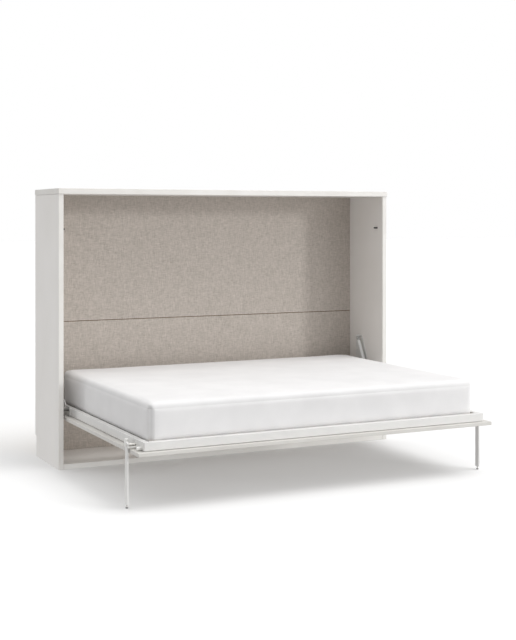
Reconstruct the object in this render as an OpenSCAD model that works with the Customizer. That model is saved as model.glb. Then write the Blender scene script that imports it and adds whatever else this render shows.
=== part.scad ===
// Horizontal wall bed: a white cabinet that stands on the floor against a wall, with a bed
// frame that tilts down about a long-side axis and stands on two folding legs.
// Drawn with the bed open. +X runs along the cabinet, +Y to the wall and +Z up.
// The origin is on the floor, in the middle of the space that the open bed takes.

/* [Mattress] */
// Length of the mattress, along the cabinet
mattress_l = 1900; // [1800:10:2000]
// Width of the mattress, out from the wall
mattress_w = 1400; // [1200:10:1400]
// Height of the mattress without its crown
mattress_h = 194; // [150:1:200]
// Extra height in the middle of the mattress
mattress_crown = 6; // [2:1:12]
// Depth that the mattress sits below the top of the rails
mattress_sink = 14; // [8:1:16]
// Gap between the mattress and the front and side rails
mattress_gap = 5; // [3:0.5:8]
// Reach of the mattress behind the bed pivot
mattress_back = 263; // [240:1:264]
// Plan radius of the mattress corners
mattress_corner_r = 46; // [30:1:80]
// Radius of the top edge of the mattress
mattress_top_r = 22; // [18:1:40]
// Radius of the bottom edge of the mattress
mattress_bottom_r = 10; // [8:1:24]
// Depth that the sides are drawn in
mattress_draw = 3; // [1:0.5:6]
// Depth of the seam below the top edge
mattress_seam = 2.5; // [1:0.5:5]

/* [Cabinet] */
// Depth of the cabinet
cabinet_d = 470; // [460:1:520]
// Thickness of the side and bottom boards
board_t = 28; // [25:0.5:28]
// Thickness of the top board
top_t = 32; // [28:0.5:40]
// How far the top board stands proud at the front
top_front_overhang = 6; // [0:0.5:12]
// How far the top board stands proud at each side
top_side_overhang = 2.5; // [0:0.5:8]
// Dark shadow gap between the top board and the side boards
top_joint = 0.6; // [0.3:0.1:0.9]
// Distance of the back panels' front face from the rear of the cabinet
back_inset = 68; // [60:1:72]
// Thickness of the back panels
back_t = 16; // [12:0.5:18]
// Height of the seam between the two back panels
back_seam_z = 785; // [600:1:900]
// Width of that seam
back_seam_gap = 0.8; // [0.5:0.1:0.9]
// Height of the strip behind the seam
joint_strip_h = 60; // [40:1:90]
// Thickness of the strip behind the seam
joint_strip_t = 12; // [8:0.5:16]
// Side of the square cleats behind the back panels
cleat_w = 20; // [15:1:26]
// Height of each wall rail
wall_rail_h = 100; // [80:1:120]
// Thickness of each wall rail
wall_rail_t = 22; // [18:0.5:24]
// Depth of the notch that clears a skirting board
skirting_d = 24; // [15:1:30]
// Height of the notch that clears a skirting board
skirting_h = 121; // [60:1:140]
// Diameter of the dowels
dowel_d = 8; // [6:0.5:10]
// Length of the dowels
dowel_l = 36; // [28:1:40]

/* [Wall fixing] */
// Diameter of the wall screw holes
wall_hole_d = 9; // [6:0.5:12]
// Distance between the wall screw holes along the cabinet
wall_hole_spacing = 1800; // [1200:10:1840]

/* [Door panel] */
// Height of the underside of the door panel when the bed is open
door_z = 267; // [258:1:280]
// Thickness of the door panel
door_t = 19; // [16:0.5:19]
// How far the door panel reaches past the front rail
door_front_lip = 25; // [10:1:40]
// How far the door panel reaches past the rear rail
door_rear_lip = 3; // [1:0.5:4]
// Gap between the closed door panel and the top board
door_top_gap = 7; // [4:0.5:12]
// Width of the board of the door panel that is on top when closed
door_upper_w = 697; // [500:1:750]
// Gap between the two boards of the door panel
door_seam_gap = 0.8; // [0.5:0.1:0.9]

/* [Bed frame] */
// Width of the front and side rails
rail_w = 30; // [25:0.5:34]
// Height of the rails
rail_h = 44; // [38:1:48]
// Wall of the rails
rail_wall = 2; // [1.5:0.1:3]
// Width of the rear rail
rear_rail_w = 16; // [12:0.5:18]
// Gap between the mattress and the rear rail
rear_gap = 4; // [3:0.5:4]
// Depth of the fine grooves along the rails
groove_d = 0.8; // [0.4:0.1:1.2]
// Width of each groove
groove_w = 2; // [1:0.1:3]
// Number of grooves
groove_n = 5; // [3:1:6]
// Radius of the rounded outer corners of the frame
corner_r = 4; // [3:0.5:14]
// Length of the corner tongues inside the rails
tongue_l = 40; // [25:1:60]
// Clearance of the corner tongues
tongue_gap = 0.2; // [0.1:0.05:0.3]
// Width of the centre beam
beam_w = 40; // [30:1:60]
// Width of a slat
slat_w = 68; // [50:1:75]
// Thickness of a slat
slat_t = 8; // [6:0.5:10]
// Distance from slat to slat
slat_pitch = 140; // [125:1:160]
// Clear space between the mattress and the slats
slat_gap = 0.3; // [0.2:0.1:0.5]
// Depth of a slat holder
holder_d = 26; // [20:1:32]
// Height of a slat holder below its slat
holder_h = 14; // [8:0.5:16]
// How far a slat holder reaches past its slat on each side
holder_lip = 4; // [2:0.5:8]

/* [Door fixing] */
// Length of each leg of the angle brackets
angle_leg = 18; // [14:0.5:20]
// Thickness of the angle brackets
angle_t = 2.5; // [2:0.1:3]
// Length of an angle bracket
angle_l = 36; // [24:1:44]
// Diameter of the door screws
door_screw_d = 4; // [3:0.1:5]
// Depth of the door screws in the boards
door_screw_l = 12; // [8:0.5:14]

/* [Hinge hardware] */
// Space between the side board and the side rail
hardware_space = 52; // [48:1:60]
// Height of the pivot below the top of the rails
pivot_drop = 6; // [2:0.5:10]
// Diameter of the pivot pin
pivot_pin_d = 14; // [12:0.5:16]
// Wall of the pivot bush
bush_wall = 2; // [1.5:0.1:3]
// Radial clearance of every turning pin
running_gap = 0.05; // [0.03:0.01:0.09]
// Thickness of the hinge plate on the cabinet
plate_t = 3; // [2:0.1:4]
// Height of the front end of the hinge plate
plate_front_h = 60; // [50:1:70]
// Distance of the hinge plate's vertical rear edge from the cabinet's front
plate_rear = 322; // [300:1:340]
// Reach of the hinge plate in front of the pivot
plate_front = 35; // [28:1:50]
// Reach of the plate's level lower edge behind the pivot
plate_foot = 95; // [80:1:120]
// Height of the lower end of the rear edge above the pivot
plate_rear_rise = 146; // [130:1:150]
// Distance of the plate's slanted front edge from the upper strut mount
plate_margin = 11.4; // [10:0.2:16]
// Length of the flange along the top of the hinge plate, from its front end
plate_flange_l = 26; // [20:1:44]
// Width of the flange at the top of the hinge plate
plate_flange_w = 36; // [34:0.5:42]
// Thickness of the top flange
plate_flange_t = 4; // [3:0.5:5]
// Thickness of the bracket on the bed
bracket_t = 6; // [4:0.5:7]
// Reach of the bed bracket in front of the pivot
bracket_front = 29; // [24:1:34]
// Reach of the bed bracket behind the pivot
bracket_rear = 111; // [104:1:120]
// Height of the bracket's raised rear end above the pivot
bracket_peak = 42; // [30:1:44]
// Height of the bracket's front part above the pivot
bracket_nose = 13; // [12:0.5:24]
// Length of the raised rear end, at its top
bracket_top_l = 26; // [20:1:36]
// Diameter of the plate and bracket screws
fixing_d = 6; // [5:0.5:7]
// Length of the plate screws in the side board
plate_screw_l = 16; // [10:1:20]

/* [Gas strut] */
// Distance of the strut's centre line from the side board
strut_offset = 26; // [24:0.5:27]
// Distance of the upper strut mount behind the pivot
strut_upper_back = 199; // [180:1:210]
// Height of the upper strut mount above the pivot
strut_upper_rise = 293; // [280:1:310]
// Distance of the lower strut mount from the pivot
strut_arm = 50; // [42:1:55]
// Diameter of the strut's tube
tube_d = 22; // [18:0.5:23]
// Wall of the strut's tube
tube_wall = 1.5; // [1:0.1:2]
// Length of the strut's tube
tube_l = 226; // [200:1:232]
// Diameter of the strut's rod
rod_d = 10; // [8:0.5:12]
// Length of the rod inside the tube when the bed is open
rod_inside = 150; // [120:1:170]
// Diameter of the end fittings
eye_d = 21; // [18:0.5:22]
// Width of the end fittings along the mounts
eye_w = 11; // [8:0.5:12]
// Diameter of the studs that hold the strut
stud_d = 8; // [6:0.5:10]
// Gap at the lower ball joint, which is left open
ball_gap = 0.6; // [0.4:0.1:0.9]

/* [Legs] */
// Width of the flat bar of a leg
leg_w = 30; // [24:1:36]
// Thickness of the flat bar of a leg
leg_t = 8; // [6:0.5:10]
// Clear space on each side of a leg
leg_gap = 3.5; // [3:0.5:5]
// Distance of the leg pivot behind the front rail's face
leg_setback = 115; // [80:1:140]
// Height of the leg pivot above the door panel
leg_pivot_rise = 18; // [16:0.5:20]
// Height of the bar above its pivot
leg_head = 14; // [12:0.5:15]
// Size of the chamfer that lets the bar's top turn past its stop
leg_chamfer = 6; // [5:0.5:7]
// Diameter of the leg pivot
leg_pin_d = 10; // [8:0.5:12]
// Diameter of the pin that stops the open leg
leg_stop_d = 8; // [6:0.5:9]
// Distance of the stop pin below the leg pivot
leg_stop_drop = 9; // [8:0.5:10]
// Diameter of the round cap in front of the stop pin
leg_cap_d = 20; // [16:1:24]
// Length of that cap
leg_cap_l = 24; // [16:1:30]
// Distance from the stop pin to the cap
leg_cap_reach = 57; // [30:1:66]
// Thickness of the plate that carries the stop pin and the cap
leg_stop_plate_t = 3; // [2:0.5:4]
// Height of the screw foot below the bar
foot_h = 17; // [12:0.5:22]
// Diameter of the foot pad
foot_d = 13; // [10:0.5:14]
// Thickness of the foot pad
foot_pad_t = 6; // [4:0.5:8]
// Diameter of the foot's screw
foot_screw_d = 5; // [4:0.5:5.5]
// Length of the foot's screw inside the bar
foot_screw_l = 20; // [12:1:40]

/* [Closing stop] */
// Distance of the closing buffers behind the leg pivots
buffer_setback = 49; // [30:1:120]
// Distance of the stop pin behind the pivot
stop_back = 7; // [5:0.5:12]
// Diameter of the stop pin
stop_pin_d = 10; // [8:0.5:12]
// How far the stop pin stands out of the side board
stop_pin_out = 25; // [20:1:28]
// Gap between the closed stop and its buffer
stop_gap = 0.3; // [0.2:0.1:0.5]

/* [Hidden] */
$fn = 48;
fit = 0.1;            // radial clearance of dowels and screws
dowel_end = 0.4;      // empty end of each dowel hole
dowel_cover = 6;      // board left outside a dowel
head_t = 3;           // height of a screw head
inset_edge = 60;      // distance of the outermost fixings from an edge
rail_reach = 10;      // how far bolts and pins reach into a rail

door_top = door_z + door_t;
rail_top = door_top + rail_h;
mattress_z = rail_top - mattress_sink;
slat_top = mattress_z - slat_gap;
slat_z = slat_top - slat_t;
pivot_z = rail_top - pivot_drop;
pivot_back = pivot_z - door_z;

// Places out from the pivot, along Y, with the bed open
mattress_front_dy = mattress_back - mattress_w;
rail_front_dy = mattress_front_dy - mattress_gap - rail_w;
door_front_dy = rail_front_dy - door_front_lip;
rear_rail_dy = mattress_back + rear_gap;
rail_rear_dy = rear_rail_dy + rear_rail_w;
door_rear_dy = rail_rear_dy + door_rear_lip;

cabinet_w = mattress_l + 2 * (mattress_gap + rail_w + hardware_space + board_t);
under_top = pivot_z - door_front_dy + door_top_gap;
cabinet_h = under_top + top_t;
bed_reach = -door_front_dy - pivot_back;
front_y = (bed_reach - cabinet_d) / 2;
back_y = front_y + cabinet_d;
back_face_y = back_y - back_inset;
pivot_y = front_y + pivot_back;

inner_x = cabinet_w / 2 - board_t;
door_x = inner_x - 2 * leg_gap - leg_t;
rail_x = inner_x - hardware_space;
strut_x = inner_x - strut_offset;
leg_x = inner_x - leg_gap;
bracket_x = rail_x + bracket_t;

mattress_cy = pivot_y + mattress_back - mattress_w / 2;
rail_front_y = pivot_y + rail_front_dy;
rail_inner_y = rail_front_y + rail_w;
rear_rail_y = pivot_y + rear_rail_dy;
rear_end_y = pivot_y + rail_rear_dy;
leg_pivot_y = rail_front_y + leg_setback;
leg_pivot_z = door_top + leg_pivot_rise;

strut_len = norm([strut_upper_back - strut_arm, strut_upper_rise]);
strut_tilt = atan2(strut_upper_back - strut_arm, strut_upper_rise);
tube_start = eye_d / 2 + 4;
neck_d = eye_w - 1;
gland_l = 14;
gland_lip = 3;
bush_flange_t = 2;
socket_x = strut_x - eye_w / 2;

slat_n = floor((mattress_l - slat_w) / slat_pitch) + 1;
slat_start = -(slat_n - 1) / 2 * slat_pitch;
fix_ys = [for (k = [0:2]) front_y + inset_edge + k * (cabinet_d - skirting_d - 2 * inset_edge) / 2];
rail_fix_dz = [-0.3, 0.3];
lower_rail_z = skirting_h;
upper_rail_z = under_top - wall_rail_h;
plate_top = strut_upper_rise + eye_d / 2 + 4 + plate_flange_t;
strut_slope = (strut_upper_back - strut_arm) / strut_upper_rise;
plate_front_top = strut_upper_back - plate_margin + strut_slope * (plate_top - strut_upper_rise);

fixing_head_d = fixing_d + 4;

// Fixings of the hinge plate and of the bed bracket, from the pivot
plate_fixings = [
    [-20, -18], [40, -18], [110, 40],
    [plate_rear - pivot_back - 20, 120], [plate_rear - pivot_back - 20, 220],
    [plate_rear - pivot_back - 20, plate_top - 25]
];
bracket_fixings = [[-16, -24], [30, -24], [92, -24]];

// Places of the single parts
stop_reach = -(rail_front_dy + leg_setback + buffer_setback);
stop_y = pivot_y + stop_back;
stop_z = pivot_z + stop_reach;
stop_bury = 14;
pin_bury = 12;
upper_y = pivot_y + strut_upper_back;
upper_z = pivot_z + strut_upper_rise;
leg_stop_y = leg_pivot_y - leg_w / 2 - leg_stop_d / 2 - stop_gap;
leg_stop_z = leg_pivot_z - leg_stop_drop;
angle_xs = [for (k = [1, 4, slat_n - 6, slat_n - 3]) slat_start + (k + 0.5) * slat_pitch];
beam_y = pivot_y + door_front_dy + door_upper_w - door_seam_gap / 2;
angle_screw_y = angle_leg / 2 + angle_t / 2;
angle_places = [
    [rail_inner_y, 1], [beam_y - beam_w / 2, -1],
    [beam_y + beam_w / 2, 1], [rear_rail_y, -1]
];

// Shared shapes

module block(low, high) {
    translate(low) cube(high - low);
}

// A cylinder along X from x0 to x1
module rod_x(x0, x1, y, z, d) {
    translate([x0, y, z]) rotate([0, 90, 0]) cylinder(d = d, h = x1 - x0);
}

// A cylinder along Y from y0 to y1
module rod_y(y0, y1, x, z, d) {
    translate([x, y1, z]) rotate([90, 0, 0]) cylinder(d = d, h = y1 - y0);
}

// An outline in Y and Z that reaches from x0 to x1
module extrude_x(x0, x1) {
    translate([x0, 0, 0]) rotate([90, 0, 90]) linear_extrude(x1 - x0) children();
}

// An outline in X and Z that reaches from y0 to y1
module extrude_y(y0, y1) {
    translate([0, y1, 0]) rotate([90, 0, 0]) linear_extrude(y1 - y0) children();
}

// Every piece of a pair is drawn on the right and mirrored to the left
module left() {
    mirror([1, 0, 0]) children();
}

module both() {
    children();
    left() children();
}

// Cabinet

// Dowels of the right side board, or their holes when grown by a clearance
module dowels(grow = 0, longer = 0) {
    d = dowel_d + 2 * grow;
    half = dowel_l / 2 + longer;
    for (y = fix_ys) {
        translate([inner_x + board_t / 2, y, under_top - half]) cylinder(d = d, h = 2 * half);
        rod_x(inner_x - half, inner_x + min(half, board_t - dowel_cover), y, board_t / 2, d);
    }
    for (z0 = [lower_rail_z, upper_rail_z]) {
        for (k = rail_fix_dz) {
            z = z0 + wall_rail_h * (0.5 + k);
            rod_x(inner_x - half, inner_x + min(half, board_t - dowel_cover), back_y - wall_rail_t / 2, z, d);
        }
    }
}

module dowel_holes() {
    both() dowels(fit, dowel_end);
}

module cabinet_dowels() {
    color("burlywood") both() dowels();
}

module top_panel() {
    half = cabinet_w / 2 + top_side_overhang;
    color("white") difference() {
        block([-half, front_y - top_front_overhang, under_top], [half, back_y, cabinet_h]);
        dowel_holes();
    }
}

module side_panel() {
    color("white") difference() {
        block([inner_x, front_y, 0], [cabinet_w / 2, back_y, under_top - top_joint]);
        block([inner_x - 1, back_y - skirting_d, -1], [cabinet_w / 2 + 1, back_y + 1, skirting_h]);
        dowel_holes();
        rod_x(inner_x - 1, inner_x + stop_bury + fit, stop_y, stop_z, stop_pin_d + 2 * fit);
        rod_x(inner_x - 1, inner_x + pin_bury + fit, pivot_y, pivot_z, pivot_pin_d + 2 * fit);
        plate_screw_set(fit);
    }
}

module bottom_panel() {
    color("white") difference() {
        block([-inner_x, front_y, 0], [inner_x, back_y - skirting_d, board_t]);
        dowel_holes();
    }
}

module back_panel(z0, z1) {
    color("tan") block([-inner_x, back_face_y, z0], [inner_x, back_face_y + back_t, z1]);
}

module back_panel_lower() {
    back_panel(board_t, back_seam_z);
}

module back_panel_upper() {
    back_panel(back_seam_z + back_seam_gap, under_top);
}

module back_joint_strip() {
    z0 = back_seam_z - joint_strip_h / 2;
    y0 = back_face_y + back_t;
    half = inner_x - cleat_w;
    color("burlywood") block([-half, y0, z0], [half, y0 + joint_strip_t, z0 + joint_strip_h]);
}

module back_cleats() {
    y0 = back_face_y + back_t;
    z0 = skirting_h + wall_rail_h;
    color("burlywood") both() {
        block([inner_x - cleat_w, y0, z0], [inner_x, y0 + cleat_w, upper_rail_z]);
    }
}

module wall_rail(z0) {
    zc = z0 + wall_rail_h / 2;
    color("burlywood") difference() {
        block([-inner_x, back_y - wall_rail_t, z0], [inner_x, back_y, z0 + wall_rail_h]);
        for (s = [-1, 1]) {
            rod_y(back_y - wall_rail_t - 1, back_y + 1, s * wall_hole_spacing / 2, zc, wall_hole_d);
        }
        dowel_holes();
    }
}

module upper_wall_rail() {
    wall_rail(upper_rail_z);
}

module lower_wall_rail() {
    wall_rail(lower_rail_z);
}

// Stop pins on the side boards, level with the closed bed's buffers, and the buffers on the bed

module stop_pins() {
    color("black") both() {
        rod_x(inner_x - stop_pin_out, inner_x + stop_bury, stop_y, stop_z, stop_pin_d);
    }
}

module closing_buffers() {
    half = 14;
    base_t = 5;
    y = pivot_y - stop_reach;
    top = pivot_z + stop_back - stop_pin_d / 2 - stop_gap;
    x1 = door_x - 1;
    color("gainsboro") both() {
        block([rail_x, y - half, door_top], [x1, y + half, door_top + base_t]);
        block([x1 - half, y - half, door_top], [x1, y + half, top]);
    }
}

// Hinge plates and pivots on the cabinet

module plate_outline() {
    rear = plate_rear - pivot_back;
    low = plate_front_h / 2 + 4;
    foot = plate_front_top - strut_slope * (plate_top - plate_front_h / 2);
    translate([pivot_y, pivot_z]) polygon([
        [-plate_front, -low], [plate_foot, -low], [rear, plate_rear_rise], [rear, plate_top],
        [plate_front_top, plate_top], [foot, plate_front_h / 2], [-plate_front, plate_front_h / 2]
    ]);
}

module plate_screw_set(grow = 0) {
    for (p = plate_fixings) {
        y = pivot_y + p[0];
        z = pivot_z + p[1];
        rod_x(inner_x - plate_t, inner_x + plate_screw_l + grow, y, z, fixing_d - 2 + 2 * grow);
    }
}

module hinge_plate() {
    x0 = inner_x - plate_t;
    flange_y = pivot_y + plate_front_top;
    flange_z = pivot_z + plate_top - plate_flange_t;
    color("gainsboro") difference() {
        union() {
            extrude_x(x0, inner_x) plate_outline();
            block(
                [inner_x - plate_flange_w, flange_y, flange_z],
                [x0, flange_y + plate_flange_l, flange_z + plate_flange_t]
            );
        }
        rod_x(x0 - 1, inner_x + 1, pivot_y, pivot_z, pivot_pin_d + 2 * fit);
        rod_x(x0 - 1, inner_x + 1, upper_y, upper_z, stud_d + 2 * fit);
        for (p = plate_fixings) {
            rod_x(x0 - 1, inner_x + 1, pivot_y + p[0], pivot_z + p[1], fixing_d - 1);
        }
    }
}

module plate_screws() {
    color("silver") both() {
        plate_screw_set();
        for (p = plate_fixings) {
            x1 = inner_x - plate_t;
            rod_x(x1 - head_t, x1, pivot_y + p[0], pivot_z + p[1], fixing_head_d);
        }
    }
}

// The pin is held in the side board and ends in the bush of the bed bracket
module pivot_pin() {
    color("silver") {
        rod_x(bracket_x - bracket_t + fit, inner_x + pin_bury, pivot_y, pivot_z, pivot_pin_d);
        rod_x(bracket_x + bush_flange_t + 0.5, inner_x - plate_t, pivot_y, pivot_z, pivot_pin_d + 6);
    }
}

// The stud carries the upper eye between a shoulder and a nut
module upper_stud() {
    near = strut_x + eye_w / 2 + running_gap;
    far = strut_x - eye_w / 2 - running_gap;
    color("silver") {
        rod_x(far - 1, inner_x, upper_y, upper_z, stud_d);
        rod_x(near, inner_x - plate_t, upper_y, upper_z, stud_d + 5);
        rod_x(far - 4, far, upper_y, upper_z, stud_d + 5);
    }
}

// Door panel

module door_board(dy0, dy1) {
    color("white") difference() {
        block([-door_x, pivot_y + dy0, door_z], [door_x, pivot_y + dy1, door_top]);
        door_screw_set(fit);
    }
}

module door_board_upper() {
    door_board(door_front_dy, door_front_dy + door_upper_w - door_seam_gap);
}

module door_board_lower() {
    door_board(door_front_dy + door_upper_w, door_rear_dy);
}

// Frame

// The hollow outline of a rail: x runs inwards from the outer face, y runs up
module rail_outline(w) {
    step = rail_h / (groove_n + 1);
    difference() {
        square([w, rail_h]);
        translate([rail_wall, rail_wall]) square([w - 2 * rail_wall, rail_h - 2 * rail_wall]);
        for (k = [1:groove_n]) {
            translate([-1, k * step - groove_w / 2]) square([1 + groove_d, groove_w]);
        }
    }
}

module front_rail() {
    half = rail_x - rail_w;
    color("whitesmoke") extrude_x(-half, half) {
        translate([rail_front_y, door_top]) rail_outline(rail_w);
    }
}

module rear_rail() {
    half = rail_x - rail_w;
    color("whitesmoke") extrude_x(-half, half) {
        translate([rear_end_y, door_top]) mirror([1, 0]) rail_outline(rear_rail_w);
    }
}

module side_rail() {
    color("whitesmoke") difference() {
        extrude_y(rail_inner_y, rear_rail_y) {
            translate([rail_x, door_top]) mirror([1, 0]) rail_outline(rail_w);
        }
        bracket_bolt_set(fit);
        rod_x(rail_x - rail_wall - 1, rail_x + 1, leg_pivot_y, leg_pivot_z, leg_pin_d - 2 + 2 * fit);
        rod_x(rail_x - rail_wall - 1, rail_x + 1, leg_stop_y, leg_stop_z, leg_stop_d - 2 + 2 * fit);
    }
}

// A corner piece with one tongue in the end rail and one in the side rail
module corner(y_outer, direction, end_w) {
    w = rail_w - 2 * rail_wall - 2 * tongue_gap;
    h = rail_h - 2 * rail_wall - 2 * tongue_gap;
    z = door_top + rail_wall + tongue_gap;
    inset = rail_wall + tongue_gap;
    r = min(corner_r, end_w - 1);
    translate([rail_x, y_outer, 0]) scale([-1, direction, 1]) {
        translate([0, 0, door_top]) linear_extrude(rail_h) difference() {
            square([rail_w, end_w]);
            difference() {
                square([r, r]);
                translate([r, r]) circle(r = r);
            }
        }
        block([rail_w, inset, z], [rail_w + tongue_l, end_w - inset, z + h]);
        block([inset, end_w, z], [inset + w, end_w + tongue_l, z + h]);
    }
}

module front_corners() {
    color("whitesmoke") both() corner(rail_front_y, 1, rail_w);
}

module rear_corners() {
    color("whitesmoke") both() corner(rear_end_y, -1, rear_rail_w);
}

module centre_beam() {
    half = rail_x - rail_w;
    color("gainsboro") extrude_x(-half, half) difference() {
        translate([beam_y - beam_w / 2, door_top]) square([beam_w, slat_z - door_top]);
        translate([beam_y - beam_w / 2 + rail_wall, door_top + rail_wall]) {
            square([beam_w - 2 * rail_wall, slat_z - door_top - 2 * rail_wall]);
        }
    }
}

module slats() {
    y0 = rail_inner_y + 1;
    y1 = rear_rail_y - 1;
    color("burlywood") for (k = [0:slat_n - 1]) {
        x = slat_start + k * slat_pitch;
        block([x - slat_w / 2, y0, slat_z], [x + slat_w / 2, y1, slat_top]);
    }
}

module slat_holders() {
    half = slat_w / 2 + holder_lip;
    z0 = slat_z - holder_h;
    color("dimgray") for (k = [0:slat_n - 1]) {
        x = slat_start + k * slat_pitch;
        block([x - half, rail_inner_y, z0], [x + half, rail_inner_y + holder_d, slat_z]);
        block([x - half, rear_rail_y - holder_d, z0], [x + half, rear_rail_y, slat_z]);
    }
}

// Angle brackets that hold the door panel to the rails and to the beam

module door_brackets() {
    color("silver") for (p = angle_places, x = angle_xs) {
        translate([x, p[0], door_top]) scale([1, p[1], 1]) difference() {
            union() {
                block([-angle_l / 2, 0, 0], [angle_l / 2, angle_leg, angle_t]);
                block([-angle_l / 2, 0, angle_t], [angle_l / 2, angle_t, angle_leg]);
            }
            translate([0, angle_screw_y, -1]) cylinder(d = door_screw_d + 2 * fit, h = angle_t + 2);
        }
    }
}

module door_screw_set(grow = 0) {
    for (p = angle_places, x = angle_xs) {
        translate([x, p[0] + p[1] * angle_screw_y, door_top - door_screw_l - grow]) {
            cylinder(d = door_screw_d + 2 * grow, h = door_screw_l + angle_t + grow);
        }
    }
}

module door_screws() {
    color("silver") {
        door_screw_set();
        for (p = angle_places, x = angle_xs) {
            translate([x, p[0] + p[1] * angle_screw_y, door_top + angle_t]) {
                cylinder(d = door_screw_d + 4, h = head_t - 0.5);
            }
        }
    }
}

// Bed side of the hinge

module bracket_outline() {
    low = rail_h - pivot_drop - 2;
    translate([pivot_y, pivot_z]) polygon([
        [-bracket_front, -low], [bracket_rear, -low],
        [bracket_rear, bracket_peak], [bracket_rear - bracket_top_l, bracket_peak],
        [bracket_rear - 2 * bracket_top_l, bracket_nose], [-bracket_front, bracket_nose]
    ]);
}

module bracket_bolt_set(grow = 0) {
    for (p = bracket_fixings) {
        rod_x(rail_x - rail_reach, bracket_x, pivot_y + p[0], pivot_z + p[1], fixing_d + 2 * grow);
    }
}

module bed_bracket() {
    bush_d = pivot_pin_d + 2 * running_gap + 2 * bush_wall;
    color("whitesmoke") difference() {
        extrude_x(rail_x, bracket_x) bracket_outline();
        rod_x(rail_x - 1, bracket_x + 1, pivot_y, pivot_z, bush_d + 2 * fit);
        rod_x(rail_x - 1, bracket_x + 1, pivot_y + strut_arm, pivot_z, stud_d + 2 * fit);
        bracket_bolt_set(fit);
    }
}

module bracket_bolts() {
    color("dimgray") both() {
        bracket_bolt_set();
        for (p = bracket_fixings) {
            rod_x(bracket_x, bracket_x + head_t, pivot_y + p[0], pivot_z + p[1], fixing_head_d);
        }
    }
}

module pivot_bush() {
    inner_d = pivot_pin_d + 2 * running_gap;
    color("dimgray") difference() {
        union() {
            rod_x(rail_x + fit, bracket_x, pivot_y, pivot_z, inner_d + 2 * bush_wall);
            rod_x(bracket_x, bracket_x + bush_flange_t, pivot_y, pivot_z, inner_d + 2 * bush_wall + 4);
        }
        rod_x(rail_x - 1, bracket_x + 3, pivot_y, pivot_z, inner_d);
    }
}

module ball_stud() {
    y = pivot_y + strut_arm;
    color("silver") {
        rod_x(rail_x + fit, socket_x - ball_gap, y, pivot_z, stud_d);
        rod_x(bracket_x, bracket_x + 4, y, pivot_z, stud_d + 5);
    }
}

// Gas strut, drawn downwards from its upper mount

module along_strut() {
    translate([strut_x, upper_y, upper_z]) rotate([-strut_tilt, 0, 0]) children();
}

module upper_eye() {
    color("dimgray") along_strut() difference() {
        union() {
            rod_x(-eye_w / 2, eye_w / 2, 0, 0, eye_d);
            translate([0, 0, -tube_start]) cylinder(d = neck_d, h = tube_start);
        }
        rod_x(-eye_w, eye_w, 0, 0, stud_d + 2 * running_gap);
    }
}

module strut_tube() {
    color("gainsboro") along_strut() translate([0, 0, -tube_start - tube_l]) difference() {
        cylinder(d = tube_d, h = tube_l);
        translate([0, 0, -1]) cylinder(d = tube_d - 2 * tube_wall, h = tube_l - 5);
    }
}

module strut_gland() {
    outer_d = tube_d - 2 * tube_wall;
    color("black") along_strut() translate([0, 0, -tube_start - tube_l]) difference() {
        union() {
            cylinder(d = outer_d, h = gland_l);
            translate([0, 0, -gland_lip]) cylinder(d = tube_d - 1, h = gland_lip);
        }
        translate([0, 0, -gland_lip - 1]) {
            cylinder(d = rod_d + 2 * running_gap, h = gland_l + gland_lip + 2);
        }
    }
}

module strut_rod() {
    socket_top = eye_d / 2 + 3;
    gland_z = tube_start + tube_l;
    color("silver") along_strut() {
        translate([0, 0, -strut_len + socket_top]) {
            cylinder(d = rod_d, h = strut_len - socket_top - gland_z + rod_inside);
        }
        translate([0, 0, -gland_z + rod_inside]) {
            cylinder(d = tube_d - 2 * tube_wall - 2 * running_gap, h = 12);
        }
    }
}

module ball_socket() {
    socket_top = eye_d / 2 + 3;
    color("dimgray") along_strut() translate([0, 0, -strut_len]) {
        rod_x(-eye_w / 2, eye_w / 2, 0, 0, eye_d - 1);
        cylinder(d = neck_d, h = socket_top);
    }
}

// Legs

module leg() {
    front = leg_pivot_y - leg_w / 2;
    rear = leg_pivot_y + leg_w / 2;
    top = leg_pivot_z + leg_head;
    color("white") difference() {
        extrude_x(leg_x - leg_t, leg_x) polygon([
            [front, foot_h], [rear, foot_h], [rear, top],
            [front + leg_chamfer, top], [front, top - leg_chamfer]
        ]);
        rod_x(leg_x - leg_t - 1, leg_x + 1, leg_pivot_y, leg_pivot_z, leg_pin_d + 2 * running_gap);
        translate([leg_x - leg_t / 2, leg_pivot_y, foot_h - 1]) {
            cylinder(d = foot_screw_d + 2 * fit, h = foot_screw_l + 6);
        }
    }
}

module foot() {
    color("dimgray") translate([leg_x - leg_t / 2, leg_pivot_y, 0]) {
        cylinder(d = foot_d, h = foot_pad_t);
        cylinder(d = foot_screw_d, h = foot_h + foot_screw_l);
        translate([0, 0, foot_h - 4]) cylinder(d = foot_screw_d + 2.5, h = 3.7);
    }
}

// The pin runs from inside the rail to a flat head outside the leg
module leg_pin() {
    shoulder = leg_x - leg_t - 0.5;
    color("silver") {
        rod_x(rail_x - rail_reach, rail_x + 1, leg_pivot_y, leg_pivot_z, leg_pin_d - 2);
        rod_x(rail_x, shoulder, leg_pivot_y, leg_pivot_z, leg_pin_d + 6);
        rod_x(shoulder, leg_x + 1, leg_pivot_y, leg_pivot_z, leg_pin_d);
        rod_x(leg_x + 0.3, leg_x + 2.3, leg_pivot_y, leg_pivot_z, leg_pin_d + 6);
    }
}

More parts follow.
